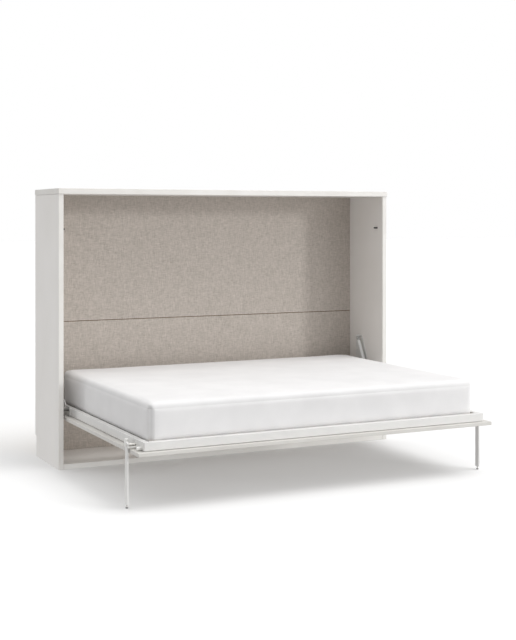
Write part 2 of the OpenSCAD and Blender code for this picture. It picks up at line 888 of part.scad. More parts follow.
// A plate on the rail carries the stop pin in front of each leg and, near the corner, a round cap
module leg_stops() {
    cap_y = leg_stop_y - leg_cap_reach;
    cap_z = door_top + leg_cap_d / 2 + 1;
    half = leg_stop_z - door_top - 1;
    color("white") both() {
        block(
            [rail_x, cap_y - half, leg_stop_z - half],
            [rail_x + leg_stop_plate_t, leg_stop_y + half, leg_stop_z + half]
        );
        rod_x(rail_x - rail_reach, rail_x + 1, leg_stop_y, leg_stop_z, leg_stop_d - 2);
        rod_x(rail_x, leg_x - 1, leg_stop_y, leg_stop_z, leg_stop_d);
        rod_x(rail_x, rail_x + leg_cap_l, cap_y, cap_z, leg_cap_d);
    }
}

// Mattress: rings of one rounded outline, drawn in by a profile and closed at both middles

corner_steps = 10;
edge_steps = 5;
crown_steps = 6;
half_l = mattress_l / 2;
half_w = mattress_w / 2;

outline = [
    for (q = [0:3], k = [0:corner_steps])
        let (
            a = 90 * q + 90 * k / corner_steps,
            sx = (q == 0 || q == 3) ? 1 : -1,
            sy = q < 2 ? 1 : -1
        )
        [
            sx * (half_l - mattress_corner_r) + mattress_corner_r * cos(a),
            sy * (half_w - mattress_corner_r) + mattress_corner_r * sin(a)
        ]
];

side_low = mattress_bottom_r;
side_high = mattress_h - mattress_top_r;
seam_z = side_high - 4;

// Each entry is how far a ring is drawn in and how high it lies
profile = [
    [half_w * 0.6, 0],
    for (k = [0:edge_steps]) let (a = 90 * k / edge_steps)
        [mattress_bottom_r * (1 - sin(a)), mattress_bottom_r * (1 - cos(a))],
    for (t = [0.2, 0.4, 0.6, 0.8]) [mattress_draw * sin(180 * t), side_low + t * (seam_z - 4 - side_low)],
    [0.4, seam_z - 3],
    [mattress_seam, seam_z],
    for (k = [0:edge_steps]) let (a = 90 * k / edge_steps)
        [mattress_top_r * (1 - cos(a)), side_high + mattress_top_r * sin(a)],
    for (k = [1:crown_steps - 1]) let (t = k / crown_steps)
        [mattress_top_r + t * t * (half_w * 0.9 - mattress_top_r), mattress_h + mattress_crown * sin(90 * t)]
];

module mattress() {
    n = len(outline);
    rings = len(profile);
    points = [
        for (p = profile, q = outline) [q[0] * (1 - p[0] / half_l), q[1] * (1 - p[0] / half_w), p[1]],
        [0, 0, 0],
        [0, 0, mattress_h + mattress_crown]
    ];
    low = n * rings;
    faces = [
        for (j = [0:rings - 2], i = [0:n - 1]) let (k = (i + 1) % n)
            [j * n + i, (j + 1) * n + k, j * n + k],
        for (j = [0:rings - 2], i = [0:n - 1]) let (k = (i + 1) % n)
            [j * n + i, (j + 1) * n + i, (j + 1) * n + k],
        for (i = [0:n - 1]) [low, i, (i + 1) % n],
        for (i = [0:n - 1]) [low + 1, (rings - 1) * n + (i + 1) % n, (rings - 1) * n + i]
    ];
    color("white") translate([0, mattress_cy, mattress_z]) polyhedron(points, faces);
}

top_panel();
left() side_panel();  // left_side_panel
side_panel();  // right_side_panel
bottom_panel();
back_panel_upper();
back_panel_lower();
back_joint_strip();
back_cleats();
upper_wall_rail();
lower_wall_rail();
cabinet_dowels();
left() hinge_plate();  // left_hinge_plate
hinge_plate();  // right_hinge_plate
left() pivot_pin();  // left_pivot_pin
pivot_pin();  // right_pivot_pin
left() upper_stud();  // left_upper_stud
upper_stud();  // right_upper_stud
plate_screws();
stop_pins();
door_board_upper();
door_board_lower();
front_rail();
rear_rail();
left() side_rail();  // left_rail
side_rail();  // right_rail
front_corners();
rear_corners();
centre_beam();
slats();
slat_holders();
door_brackets();
door_screws();
left() bed_bracket();  // left_bed_bracket
bed_bracket();  // right_bed_bracket
left() pivot_bush();  // left_pivot_bush
pivot_bush();  // right_pivot_bush
bracket_bolts();
left() ball_stud();  // left_ball_stud
ball_stud();  // right_ball_stud
left() leg_pin();  // left_leg_pin
leg_pin();  // right_leg_pin
leg_stops();
closing_buffers();
mattress();
left() leg();  // left_leg
left() foot();  // left_foot
leg();  // right_leg
foot();  // right_foot
left() upper_eye();  // left_upper_eye
left() strut_tube();  // left_strut_tube
left() strut_gland();  // left_strut_gland
left() strut_rod();  // left_strut_rod
left() ball_socket();  // left_ball_socket
upper_eye();  // right_upper_eye
strut_tube();  // right_strut_tube
strut_gland();  // right_strut_gland
strut_rod();  // right_strut_rod
ball_socket();  // right_ball_socket
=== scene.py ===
import bpy, bmesh, math
from mathutils import Matrix, Vector


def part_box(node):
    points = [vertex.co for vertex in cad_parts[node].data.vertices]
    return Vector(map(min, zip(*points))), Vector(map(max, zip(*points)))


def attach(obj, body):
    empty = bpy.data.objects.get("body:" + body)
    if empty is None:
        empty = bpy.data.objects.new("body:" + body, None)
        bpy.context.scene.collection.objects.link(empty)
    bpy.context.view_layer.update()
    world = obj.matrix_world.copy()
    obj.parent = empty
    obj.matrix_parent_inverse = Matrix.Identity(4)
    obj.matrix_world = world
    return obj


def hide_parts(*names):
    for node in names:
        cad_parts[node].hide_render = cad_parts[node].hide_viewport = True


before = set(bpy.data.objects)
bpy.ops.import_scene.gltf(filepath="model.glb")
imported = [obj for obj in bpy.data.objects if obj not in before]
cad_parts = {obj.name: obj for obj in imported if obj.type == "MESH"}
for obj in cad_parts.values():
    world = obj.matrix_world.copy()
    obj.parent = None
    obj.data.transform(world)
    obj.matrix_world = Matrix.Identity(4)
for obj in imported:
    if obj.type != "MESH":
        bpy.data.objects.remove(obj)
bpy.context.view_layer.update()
print("frame loaded:", len(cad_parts), "nodes")


# camera and light

cameraSetup = {
    "place": (-3.031, -6.174, 1.3975),
    "turn": 26.139,  # degrees towards +X, the camera is level
    "lens": 68.216,
    "shift": -0.1602,  # shares of the frame's longer side
    "sensor": 36,  # mm
}
camera = bpy.data.objects.new("camera", bpy.data.cameras.new("camera"))
bpy.context.scene.collection.objects.link(camera)
camera.location = cameraSetup["place"]
camera.rotation_euler = (math.radians(90), 0, math.radians(-cameraSetup["turn"]))
camera.data.sensor_width = cameraSetup["sensor"]
camera.data.lens = cameraSetup["lens"]
camera.data.shift_y = cameraSetup["shift"]
bpy.context.scene.camera = camera
bpy.context.scene.view_settings.view_transform = "Standard"


def linear(hexText):
    # sRGB hex to the linear colour that the shader wants, opaque
    parts = [int(hexText[i:i + 2], 16) / 255 for i in (0, 2, 4)]
    return [p / 12.92 if p <= 0.04045 else ((p + 0.055) / 1.055) ** 2.4 for p in parts] + [1.0]


def addNode(tree, kind, links=None, output=None, **settings):
    # links maps a socket's name or number to another node's output, or to a plain value;
    # what comes back is the named output, or else the node
    node = tree.nodes.new(kind)
    for key, value in settings.items():
        setattr(node, key, value)
    for key, value in (links or {}).items():
        if isinstance(value, bpy.types.NodeSocket):
            tree.links.new(value, node.inputs[key])
        elif value is not None:
            node.inputs[key].default_value = value
    return node if output is None else node.outputs[output]


studio = {
    "zenith": 1.1,  # wide soft box overhead
    "horizon": 0.27,
    "ground": 0.6,  # the wide white floor's light from below
    "laterBounce": 1.05,  # how much stronger it is for light that has bounced twice, deep under the bed
    "bounces": (2.0, 3.0),  # ray depths before and after that
    "cap": (0.1, 0.8),  # the dome brightens from horizon to zenith between these heights, as sines
    "skyline": 0.02,  # the same for the soft line between the ground and the dome
    "white": "ffffff",
    # each lamp: strength, softness, height and side, the last three in degrees;
    # side 0 is in front of the bed and positive to its right
    "lamps": {
        "key": (0.8, 8.0, 11.5, 40.0), "low": (0.18, 20.0, 1.0, 28.0),
        "top": (1.15, 40.0, 62.0, 55.0), "side": (0.5, 14.0, 8.0, -130.0)},
    # soft boxes, power in watts: one brightens the right end,
    # and a weak one stands for the light that the floor throws under the bed
    "boxes": {
        "endBox": {"place": (2.4, -3.0, 1.3), "aim": (0.5, -0.7, 0.4), "size": (1.6, 1.6), "power": 12.0},
        "underBox": {"place": (0, 0.40, 0.17), "aim": (0, 0.78, 0.16), "size": (1.9, 0.1), "power": 0.75}},
}
world = bpy.data.worlds.new("studio")
bpy.context.scene.world = world
world.use_nodes = True
tree = world.node_tree
tree.nodes.clear()
direction = addNode(tree, "ShaderNodeTexCoord", None, "Generated")
height = addNode(tree, "ShaderNodeSeparateXYZ", {0: direction}, "Z")
path = addNode(tree, "ShaderNodeLightPath")
dome = addNode(tree, "ShaderNodeMapRange", {
    "Value": height, "From Min": studio["cap"][0], "From Max": studio["cap"][1],
    "To Min": studio["horizon"], "To Max": studio["zenith"]}, "Result", interpolation_type="SMOOTHSTEP")
below = addNode(tree, "ShaderNodeMapRange", {
    "Value": path.outputs["Ray Depth"], "From Min": studio["bounces"][0], "From Max": studio["bounces"][1],
    "To Min": studio["ground"], "To Max": studio["ground"] * studio["laterBounce"]}, "Result")
light = addNode(tree, "ShaderNodeMapRange", {
    "Value": height, "From Min": -studio["skyline"], "From Max": studio["skyline"],
    "To Min": below, "To Max": dome}, "Result")
# the camera sees plain white
lightSky, whiteSky = (addNode(tree, "ShaderNodeBackground", {
    "Color": linear(studio["white"]), "Strength": strength}, 0) for strength in (light, 1.0))
mixed = addNode(tree, "ShaderNodeMixShader", {0: path.outputs["Is Camera Ray"], 1: lightSky, 2: whiteSky}, 0)
addNode(tree, "ShaderNodeOutputWorld", {"Surface": mixed})


def addLamp(name, kind, strength, lightFrom):
    # lightFrom points from what is lit to the lamp
    lamp = bpy.data.objects.new(name, bpy.data.lights.new(name, kind))
    bpy.context.scene.collection.objects.link(lamp)
    lamp.data.energy = strength
    lamp.rotation_euler = lightFrom.to_track_quat("Z", "Y").to_euler()
    return lamp


for name, (strength, softness, height, side) in studio["lamps"].items():
    height, side = math.radians(height), math.radians(side)
    level = math.cos(height)
    lightFrom = Vector((math.sin(side) * level, -math.cos(side) * level, math.sin(height)))
    addLamp(name, "SUN", strength, lightFrom).data.angle = math.radians(softness)
for name, box in studio["boxes"].items():
    lamp = addLamp(name, "AREA", box["power"], Vector(box["place"]) - Vector(box["aim"]))
    lamp.location = box["place"]
    lamp.data.shape = "RECTANGLE"
    lamp.data.size, lamp.data.size_y = box["size"]
    lamp.visible_camera = False
print("camera and lamps set:", len(bpy.data.lights))


# materials

# each kind of finish has patterns, layers of colour over the dark one (pattern, colour, share, span of the pattern),
# a roughness with what its gloss pattern takes off or adds, bumps (pattern, depth in metres, strength),
# and plain values of the shader; a pattern's size is the width of its patches in metres
usualPattern = {"detail": 2.0, "rough": 0.5, "stretch": None, "cells": None}
usualLayers = [("cloud", "light", 1.0)]
usualSpan = (0.3, 0.7)  # most of a noise lies between these
finishWork = {
    # white melamine-faced chipboard, pressed in a pearl plate: faint pebble in the gloss, very even colour,
    # edges painted a little paler as a highlight; the real pebble is 0.4 mm, drawn coarser
    "melamine": {
        "patterns": {"cloud": {"size": 0.35, "detail": 3.0}, "pebble": {"size": 0.0016}, "paintedEdgeHighlight": "Pointiness"},
        # the paler layer on pointed edges is a painted highlight
        "layers": [("cloud", "light", 1.0), ("paintedEdgeHighlight", "faf8f5", 0.35, 0.52, 0.62)],
        "roughness": 0.42, "gloss": ("pebble", 0.05, 0.07), "bumps": [("pebble", 0.00008, 1.0)],
        "sockets": {"IOR": 1.5}},
    # ABS edge band, scraped and buffed: a little darker than the face, with faint waves from the scraper
    "edgeBand": {
        "patterns": {"cloud": {"size": 0.18}, "waves": {"size": 0.025, "detail": 1.0}},
        "roughness": 0.40, "gloss": ("waves", 0.06, 0.06), "bumps": [("waves", 0.0001, 1.0)]},
    # melamine printed and pressed as linen: upright and level threads with slubs, matt;
    # real threads are about 1 mm wide, drawn coarser so that they show from across the room
    "linen": {
        "patterns": {
            "upright": {"size": 0.0035, "detail": 1.0, "stretch": (1, 1, 0.13)},
            "level": {"size": 0.0035, "detail": 1.0, "stretch": (0.16, 1, 1)},
            "slubs": {"size": 0.006, "rough": 0.6, "stretch": (1, 1, 0.22)}, "cloud": {"size": 0.11}},
        "mean": ("upright", "level"),
        "layers": [("mean", "light", 1.0), ("slubs", "cec6bf", 0.16, 0.55, 0.75), ("cloud", "dark", 0.08)],
        "roughness": 0.69, "gloss": ("mean", 0.09, 0.09), "bumps": [("mean", 0.0006, 1.0)],
        "sockets": {"Specular IOR Level": 0.35}},
    # raw particle board and poplar battens behind the cabinet: pressed flakes of about 4 mm, dry and matt
    "chipboard": {
        "patterns": {"flakes": {"size": 1 / 260, "stretch": (0.35, 1, 1), "cells": ("F1", "Color"), "scatter": 1.0},
                     "fine": {"size": 0.004, "detail": 3.0}},
        "layers": [("flakes", "light", 1.0, 0.0, 1.0), ("fine", "8a6b45", 0.4)],
        "bumps": [("fine", 0.0003, 1.0)], "sockets": {"Roughness": 0.8}},
    # birch plywood slats, lacquered: pale, fine straight grain along the slat with short dark flecks
    "birchPly": {
        "patterns": {
            "fibre": {"size": 0.0022, "detail": 3.0, "rough": 0.6, "stretch": (1, 0.02, 1)},
            "bands": {"size": 0.03, "stretch": (1, 0.08, 1)},
            "flecks": {"size": 0.0018, "detail": 1.0, "stretch": (1, 0.2, 1)}},
        "layers": [("fibre", "light", 1.0), ("bands", "ccb490", 0.45), ("flecks", "9a7c58", 0.5, 0.66, 0.72)],
        "roughness": 0.45, "gloss": ("fibre", 0.07, 0.10), "bumps": [("fibre", 0.00012, 1.0)],
        "sockets": {"Coat Weight": 0.15, "Coat Roughness": 0.25}},
    # powder-coated steel: thick soft coat with a fine orange peel, 1 mm on the real one and drawn coarser
    "powderCoat": {
        "patterns": {"cloud": {"size": 0.12}, "peel": {"size": 0.0024, "detail": 1.0}},
        "roughness": 0.40, "gloss": ("cloud", 0.04, 0.06), "bumps": [("peel", 0.0001, 1.0)]},
    # zinc-plated steel: pale grey with dull clouds and fine draw lines
    "platedSteel": {
        "patterns": {"cloud": {"size": 0.006, "detail": 3.0},
                     "lines": {"size": 0.0008, "detail": 1.0, "stretch": (0.08, 1, 1)}},
        "roughness": 0.46, "gloss": ("cloud", 0.06, 0.14), "bumps": [("lines", 0.00003, 1.0)],
        "sockets": {"Metallic": 1.0}},
    # moulded nylon or rubber: spark-eroded mould grain and a slight flow cloud
    "moulded": {
        "patterns": {"cloud": {"size": 0.03}, "erosion": {"size": 0.0009}},
        "roughness": 0.45, "gloss": ("erosion", 0.05, 0.10), "bumps": [("erosion", 0.00006, 1.0)],
        "sockets": {"IOR": 1.5}},
    # knitted polyester cover over foam: small loops in upright ribs, soft and slightly fuzzy;
    # real loops are 1 mm, drawn 3 mm so that the knit shows
    "knit": {
        "patterns": {"soft": {"size": 0.16}, "lint": {"size": 0.012, "detail": 3.0},
                     "loops": {"size": 1 / 330, "stretch": (1, 1, 0.7),
                               "cells": ("SMOOTH_F1", "Distance"), "scatter": 0.35}},
        "layers": [("soft", "light", 1.0), ("lint", "dark", 0.25)],
        "bumps": [("soft", 0.0025, 1.0), ("loops", 0.0005, 0.6)],
        "sockets": {"Roughness": 0.85, "Specular IOR Level": 0.25, "Sheen Weight": 0.06, "Sheen Roughness": 0.5}},
    # matt paper roll under the bed, with hardly a cloud in it
    "paper": {
        "patterns": {"cloud": {"size": 0.9}},
        "layers": [("cloud", "light", 1.0, 0.0, 1.0)],
        "sockets": {"Roughness": 0.9, "Specular IOR Level": 0.1}},
}


def makeFinish(name, kind, light, dark, roughness=None):
    recipe = finishWork[kind]
    finish = bpy.data.materials.new(name)
    finish.use_nodes = True
    tree = finish.node_tree
    shader = tree.nodes["Principled BSDF"]
    for socket, value in recipe.get("sockets", {}).items():
        shader.inputs[socket].default_value = value
    place = addNode(tree, "ShaderNodeTexCoord", None, "Object")

    patterns = {}
    for key, look in recipe["patterns"].items():
        if isinstance(look, str):
            patterns[key] = addNode(tree, "ShaderNodeNewGeometry", None, look)
            continue
        look = {**usualPattern, **look}
        spot = place
        if look["stretch"]:
            # a pattern runs longer along an axis whose number is small
            spot = addNode(tree, "ShaderNodeMapping", {"Vector": place, "Scale": look["stretch"]}, 0)
        links = {"Vector": spot, "Scale": 1 / look["size"]}
        if look["cells"]:
            feature, output = look["cells"]
            patterns[key] = addNode(tree, "ShaderNodeTexVoronoi", {**links, "Randomness": look["scatter"]},
                                    output, feature=feature)
            if output == "Color":
                patterns[key] = addNode(tree, "ShaderNodeSeparateColor", {0: patterns[key]}, 0)
        else:
            patterns[key] = addNode(tree, "ShaderNodeTexNoise", {
                **links, "Detail": look["detail"], "Roughness": look["rough"]}, "Fac")
    if "mean" in recipe:
        first, second = (patterns[key] for key in recipe["mean"])
        both = addNode(tree, "ShaderNodeMath", {0: first, 1: second}, 0, operation="ADD")
        patterns["mean"] = addNode(tree, "ShaderNodeMath", {0: both, 1: 0.5}, 0, operation="MULTIPLY")

    shade = linear(dark)
    for key, colour, most, *span in recipe.get("layers", usualLayers):
        low, high = span or usualSpan
        share = addNode(tree, "ShaderNodeMapRange", {
            "Value": patterns[key], "From Min": low, "From Max": high, "To Max": most}, "Result")
        over = linear({"light": light, "dark": dark}.get(colour, colour))
        shade = addNode(tree, "ShaderNodeMix", {0: share, 6: shade, 7: over}, 2, data_type="RGBA")
    tree.links.new(shade, shader.inputs["Base Color"])

    if "gloss" in recipe:
        key, less, more = recipe["gloss"]
        middle = roughness or recipe["roughness"]
        gloss = addNode(tree, "ShaderNodeMapRange", {
            "Value": patterns[key], "From Min": usualSpan[0], "From Max": usualSpan[1],
            "To Min": middle - less, "To Max": middle + more}, "Result")
        tree.links.new(gloss, shader.inputs["Roughness"])

    normal = None
    for key, depth, strength in recipe.get("bumps", []):
        normal = addNode(tree, "ShaderNodeBump", {
            "Height": patterns[key], "Distance": depth, "Strength": strength, "Normal": normal}, 0)
    if normal:
        tree.links.new(normal, shader.inputs["Normal"])
    return finish


whiteBoard = makeFinish("white melamine board", "melamine", "eae7e4", "e5e2de")
whiteBand = makeFinish("white ABS edge band", "edgeBand", "e5e3df", "dedbd6")
doorBand = makeFinish("white ABS door edge", "edgeBand", "d1cfca", "cac7c2")
linenFace = makeFinish("linen melamine board", "linen", "c7beb6", "a29a91")
rawChip = makeFinish("raw chipboard and poplar", "chipboard", "dccba9", "b79b72")
# a dark chipboard colour painted on the seam's edges as the shade in the joint between the back boards
seamShadeEdge = makeFinish("board edge painted dark as seam shade", "chipboard", "7d6e5b", "605345")
slatPly = makeFinish("lacquered birch plywood", "birchPly", "dccbb0", "c6b08e")
whiteSteel = makeFinish("white powder-coated steel", "powderCoat", "e8e7e5", "e0dfdd")
railSteel = makeFinish("white powder-coated rails", "powderCoat", "dfdedc", "d8d7d5")
greySteel = makeFinish("light grey powder-coated steel", "powderCoat", "e0e1e0", "d5d6d5", 0.3)
# the plate's own pale grey coat, made lighter still as a painted glint on its top flange
plateCoatAndGlint = makeFinish("pale grey coated hinge plate", "powderCoat", "e6e6e4", "dcdcda")
zincSteel = makeFinish("zinc-plated steel", "platedSteel", "e4e2de", "d2d0cc")
dullSteel = makeFinish("dull zinc-plated steel", "platedSteel", "8c8b88", "747370", 0.5)
chromeRod = makeFinish("polished piston rod", "platedSteel", "dcdcdc", "b8b8b8", 0.16)
blackNylon = makeFinish("black moulded nylon", "moulded", "242424", "1a1a1a")
greyNylon = makeFinish("grey moulded nylon", "moulded", "8a8b8b", "7b7c7c")
paleNylon = makeFinish("pale grey moulded nylon", "moulded", "c3c4c4", "b6b7b7")
whiteNylon = makeFinish("white moulded nylon", "moulded", "f0efec", "e6e5e2")
blackRubber = makeFinish("black rubber", "moulded", "2a2a2a", "202020", 0.7)
knitCover = makeFinish("white knitted mattress cover", "knit", "e3e2e2", "dddcdc")
# dark grey painted on the mattress's underside as the shade in the gap along the rails
gapShadeCover = makeFinish("underside painted dark as gap shade", "knit", "6f6e6d", "646362")
whitePaper = makeFinish("matt white paper", "paper", "ededed", "ebebeb")

slotFinish = {
    "white_board": whiteBoard, "linen_board": linenFace, "raw_board": rawChip, "slat_wood": slatPly,
    "coated_steel": whiteSteel, "white_steel": whiteSteel, "zinc_steel": zincSteel, "strut_grey": greySteel,
    "dark_plastic": blackNylon, "grey_plastic": greyNylon, "white_plastic": whiteNylon,
    "dark_rubber": blackRubber, "mattress_cover": knitCover,
}
slotOfNode = {node: thing.data.materials[0].name.split(".")[0] for node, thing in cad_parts.items()}
print("finishes made for", len(slotFinish), "slots")


# modelling helpers

front, rearward = (0, -1, 0), (0, 1, 0)
leftward, rightward, upward = (-1, 0, 0), (1, 0, 0), (0, 0, 1)
hair = 1e-6  # metres, points nearer than this are one
shading = {
    "sharp": 35,  # degrees, edges above this stay crisp
    "soft": 60,  # pieces whose limit is above this are shaded as one soft skin
    "evenWeight": 100,
}


def flipAcross(bm, verts=None, faces=None):
    # turned over to the left side of the bed, with its faces still outwards
    bmesh.ops.scale(bm, vec=(-1, 1, 1), verts=verts or bm.verts)
    bmesh.ops.reverse_faces(bm, faces=faces or bm.faces)


def vertsOf(items):
    return [item for item in items if isinstance(item, bmesh.types.BMVert)]


def finishPiece(name, bm, body, coats, node=None, mirrored=False, sharp=shading["sharp"]):
    if mirrored:
        flipAcross(bm)
    mesh = bpy.data.meshes.new(name)
    bm.to_mesh(mesh)
    bm.free()
    mesh.shade_smooth()
    mesh.set_sharp_from_angle(angle=math.radians(sharp))
    piece = bpy.data.objects.new(name, mesh)
    bpy.context.scene.collection.objects.link(piece)
    for coat in coats:
        mesh.materials.append(coat)
    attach(piece, body)
    if node:
        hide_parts(node)
    if sharp < shading["soft"]:
        # broad faces shade flat up to their rounded edges
        evened = piece.modifiers.new("evened", "WEIGHTED_NORMAL")
        evened.weight, evened.keep_sharp = shading["evenWeight"], True
    return piece


def finishSide(side, name, bm, body, coat, node):
    # side pieces are drawn on the right; a body or node that belongs to a side starts with _
    finishPiece(side + name, bm, side + body if body[0] == "_" else body, [coat], side + node,
                side == "left")


def addBlock(bm, low, high, roundness=0.0, steps=2):
    low, high = Vector(low), Vector(high)
    verts = bmesh.ops.create_cube(bm, size=1)["verts"]
    bmesh.ops.scale(bm, vec=high - low, verts=verts)
    bmesh.ops.translate(bm, vec=(low + high) / 2, verts=verts)
    if roundness:
        edges = list({edge for vert in verts for edge in vert.link_edges})
        softenEdges(bm, edges, roundness, steps)


def softenEdges(bm, edges, width, steps=2):
    bmesh.ops.bevel(bm, geom=edges, offset=width, offset_type="OFFSET", segments=steps, profile=0.5,
                    affect="EDGES", material=-1, clamp_overlap=True)


def addPlate(bm, outline, x0, x1, roundness=0.0, steps=2, corner=0.0):
    # an outline in Y and Z, as thick as from x0 to x1; corner rounds the outline and roundness its edges
    face = bm.faces.new([bm.verts.new((x0, y, z)) for y, z in outline])
    if corner:
        bmesh.ops.bevel(bm, geom=face.verts[:], offset=corner, offset_type="OFFSET", segments=4,
                        profile=0.5, affect="VERTICES", material=-1)
        level = [f for f in bm.faces if all(abs(v.co.x - x0) < hair for v in f.verts)]
        face = max(level, key=lambda f: f.calc_area())
    moved = vertsOf(bmesh.ops.extrude_face_region(bm, geom=[face])["geom"])
    bmesh.ops.translate(bm, vec=(x1 - x0, 0, 0), verts=moved)
    faces = {f for v in moved for f in v.link_faces} | {face}
    bmesh.ops.recalc_face_normals(bm, faces=list(faces))
    if roundness:
        bend = math.radians(40)  # the facets of a rounded corner meet at less
        edges = {e for f in faces for e in f.edges if e.is_manifold and e.calc_face_angle(0) > bend}
        softenEdges(bm, list(edges), roundness, steps)


def addTurned(bm, profile, start, along, steps=28):
    # profile is distance along the axis and radius, turned round the axis through start
    along = Vector(along).normalized()
    across = along.orthogonal().normalized()
    start = Vector(start)
    others = set(bm.faces)
    verts = [bm.verts.new(start + along * place + across * radius) for place, radius in profile]
    edges = [bm.edges.new(pair) for pair in zip(verts, verts[1:])]
    bmesh.ops.spin(bm, geom=verts + edges, cent=start, axis=along, angle=math.tau, steps=steps,
                   use_merge=True, use_duplicate=False)
    faces = [face for face in bm.faces if face not in others]
    bmesh.ops.remove_doubles(bm, verts=list({vert for face in faces for vert in face.verts}), dist=hair)
    faces = [face for face in faces if face.is_valid]
    bmesh.ops.recalc_face_normals(bm, faces=faces)
    return faces


def rodProfile(length, radius, rim=0.0008):
    # closed rod with a small rounded rim at both ends
    return [(0, 0), (0, radius - rim), (rim * 0.3, radius - rim * 0.3), (rim, radius),
            (length - rim, radius), (length - rim * 0.3, radius - rim * 0.3), (length, radius - rim), (length, 0)]


headWork = {
    "steps": 24,
    "profile": [(0, 0), (0, 1), (0.35, 1), (0.75, 0.86), (1, 0.62), (1, 0)],  # shares of height and radius
    "rim": 0.12,  # flat ring round the socket, a share of the radius like the socket
    "socket": 0.405,  # half of the socket's width across its flats
    "depth": 0.6,  # share of the height
}


def addHead(bm, centre, along, radius, tall):
    # domed screw head with a six-sided socket; centre is on the face that it clamps
    along, centre = Vector(along).normalized(), Vector(centre)
    faces = addTurned(bm, [(up * tall, out * radius) for up, out in headWork["profile"]],
                      centre, along, headWork["steps"])
    crown = centre + along * tall
    top = [f for f in faces if f.is_valid and all(abs((v.co - crown).dot(along)) < hair for v in f.verts)]
    bmesh.ops.dissolve_faces(bm, faces=top)
    # the dissolved faces are one round face at the crown
    cap = min((f for f in bm.faces if len(f.verts) == headWork["steps"]),
              key=lambda f: (f.calc_center_median() - crown).length)
    bmesh.ops.inset_region(bm, faces=[cap], thickness=radius * headWork["rim"])
    across = along.orthogonal().normalized()
    beside = along.cross(across)
    for vert in cap.verts:
        out = vert.co - crown
        turn = math.atan2(out.dot(beside), out.dot(across)) % (math.pi / 3) - math.pi / 6
        vert.co = crown + out.normalized() * radius * headWork["socket"] / math.cos(turn)
    moved = vertsOf(bmesh.ops.extrude_face_region(bm, geom=[cap])["geom"])
    bmesh.ops.translate(bm, vec=along * -tall * headWork["depth"], verts=moved)
    if cap.is_valid:
        bmesh.ops.delete(bm, geom=[cap], context="FACES_ONLY")


def addNut(bm, centre, along, radius, tall):
    # six-sided nut, radius to its corners, with its corners turned off
    along = Vector(along).normalized()
    turn = along.to_track_quat("Z", "Y").to_matrix().to_4x4()
    middle = Matrix.Translation(Vector(centre) + along * tall / 2)
    verts = bmesh.ops.create_cone(bm, cap_ends=True, segments=6, radius1=radius, radius2=radius, depth=tall,
                                  matrix=middle @ turn)["verts"]
    edges = list({e for v in verts for e in v.link_edges})
    softenEdges(bm, edges, radius * 0.06)


def joinInto(bm, part):
    mesh = bpy.data.meshes.new("part")
    part.to_mesh(mesh)
    part.free()
    bm.from_mesh(mesh)
    bpy.data.meshes.remove(mesh)


def addMirrored(bm):
    # the same again on the left side of the bed
    copied = bmesh.ops.duplicate(bm, geom=bm.verts[:] + bm.edges[:] + bm.faces[:])["geom"]
    flipAcross(bm, vertsOf(copied), [item for item in copied if isinstance(item, bmesh.types.BMFace)])


def boxOf(node):
    low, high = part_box(node)
    return low.copy(), high.copy()


# cabinet boards

boardWork = {
    "round": 0.0011, "joint": 0.0023, "linen": 0.0018, "door": 0.0018, "steps": 3,  # rounded edges
    "bandTilt": 0.6, "seamTilt": 0.25,  # how squarely a face has to look to a side to be banded
    "gap": 0.0006,  # bottom board to side boards
    "skirtDepth": 0.024, "skirtHeight": 0.121,  # the side boards' notch for the room's skirting
}


def paintBands(bm, sides):
    # faces that look to one of the sides carry the edge band, the second finish
    bm.normal_update()
    for face in bm.faces:
        if any(face.normal.dot(Vector(side)) > boardWork["bandTilt"] for side in sides):
            face.material_index = 1


def makeBoard(name, node, body, coats, sides, roundness, short=0.0):
    # short is what the board lacks at either end
    low, high = boxOf(node)
    low.x, high.x = low.x + short, high.x - short
    bm = bmesh.new()
    addBlock(bm, low, high, roundness, boardWork["steps"])
    paintBands(bm, sides)
    finishPiece(name, bm, body, coats, node)


makeBoard("topBoard", "top_panel", "cabinet", [whiteBoard, whiteBand],
          [front, leftward, rightward], boardWork["joint"])
makeBoard("bottomBoard", "bottom_panel", "cabinet", [whiteBoard, whiteBand],
          [front], boardWork["joint"], boardWork["gap"])
for name, seamSide in (("upper", -1), ("lower", 1)):
    low, high = boxOf("back_panel_" + name)
    bm = bmesh.new()
    addBlock(bm, low, high, boardWork["linen"], boardWork["steps"])
    paintBands(bm, [rearward])
    for face in bm.faces:
        if face.normal.z * seamSide > boardWork["seamTilt"]:
            face.material_index = 2  # the cut edge at the seam, painted dark as the shade in the joint
    finishPiece(name + "BackBoard", bm, "cabinet", [linenFace, rawChip, seamShadeEdge], "back_panel_" + name)
for side in ("left", "right"):
    low, high = boxOf(side + "_side_panel")
    notchY, notchZ = high.y - boardWork["skirtDepth"], boardWork["skirtHeight"]
    bm = bmesh.new()
    addPlate(bm, [(low.y, low.z), (notchY, low.z), (notchY, notchZ),
                  (high.y, notchZ), (high.y, high.z), (low.y, high.z)],
             low.x, high.x, boardWork["round"], boardWork["steps"])
    paintBands(bm, [front])
    finishPiece(side + "SideBoard", bm, "cabinet", [whiteBoard, whiteBand], side + "_side_panel")
print("cabinet boards made")


# door panel

doorSides = [front, leftward, rightward, rearward, upward]  # all but its outer face, which looks down here
for level in ("upper", "lower"):
    makeBoard(level + "DoorBoard", "door_board_" + level, "bed", [whiteBoard, doorBand],
              doorSides, boardWork["door"])
print("door panel made")


# rails, beam and slats of the bed

railWork = {
    "wall": 0.0018, "edge": 0.0016, "sharp": 30,
    "count": 5, "deep": 0.00025, "wide": 0.001, "lip": 0.0002,  # grooves, and the rounding of their lips
    "rebateDeep": 0.006, "rebateTall": 0.0032,  # the foot is rebated, which leaves a dark line on the door
    "post": 0.030, "corner": 0.004, "rim": 0.00096, "overlap": 0.001,
    "tongue": 0.040, "inset": 0.0022, "tongueEdge": 0.001, "beamEdge": 0.002,
}


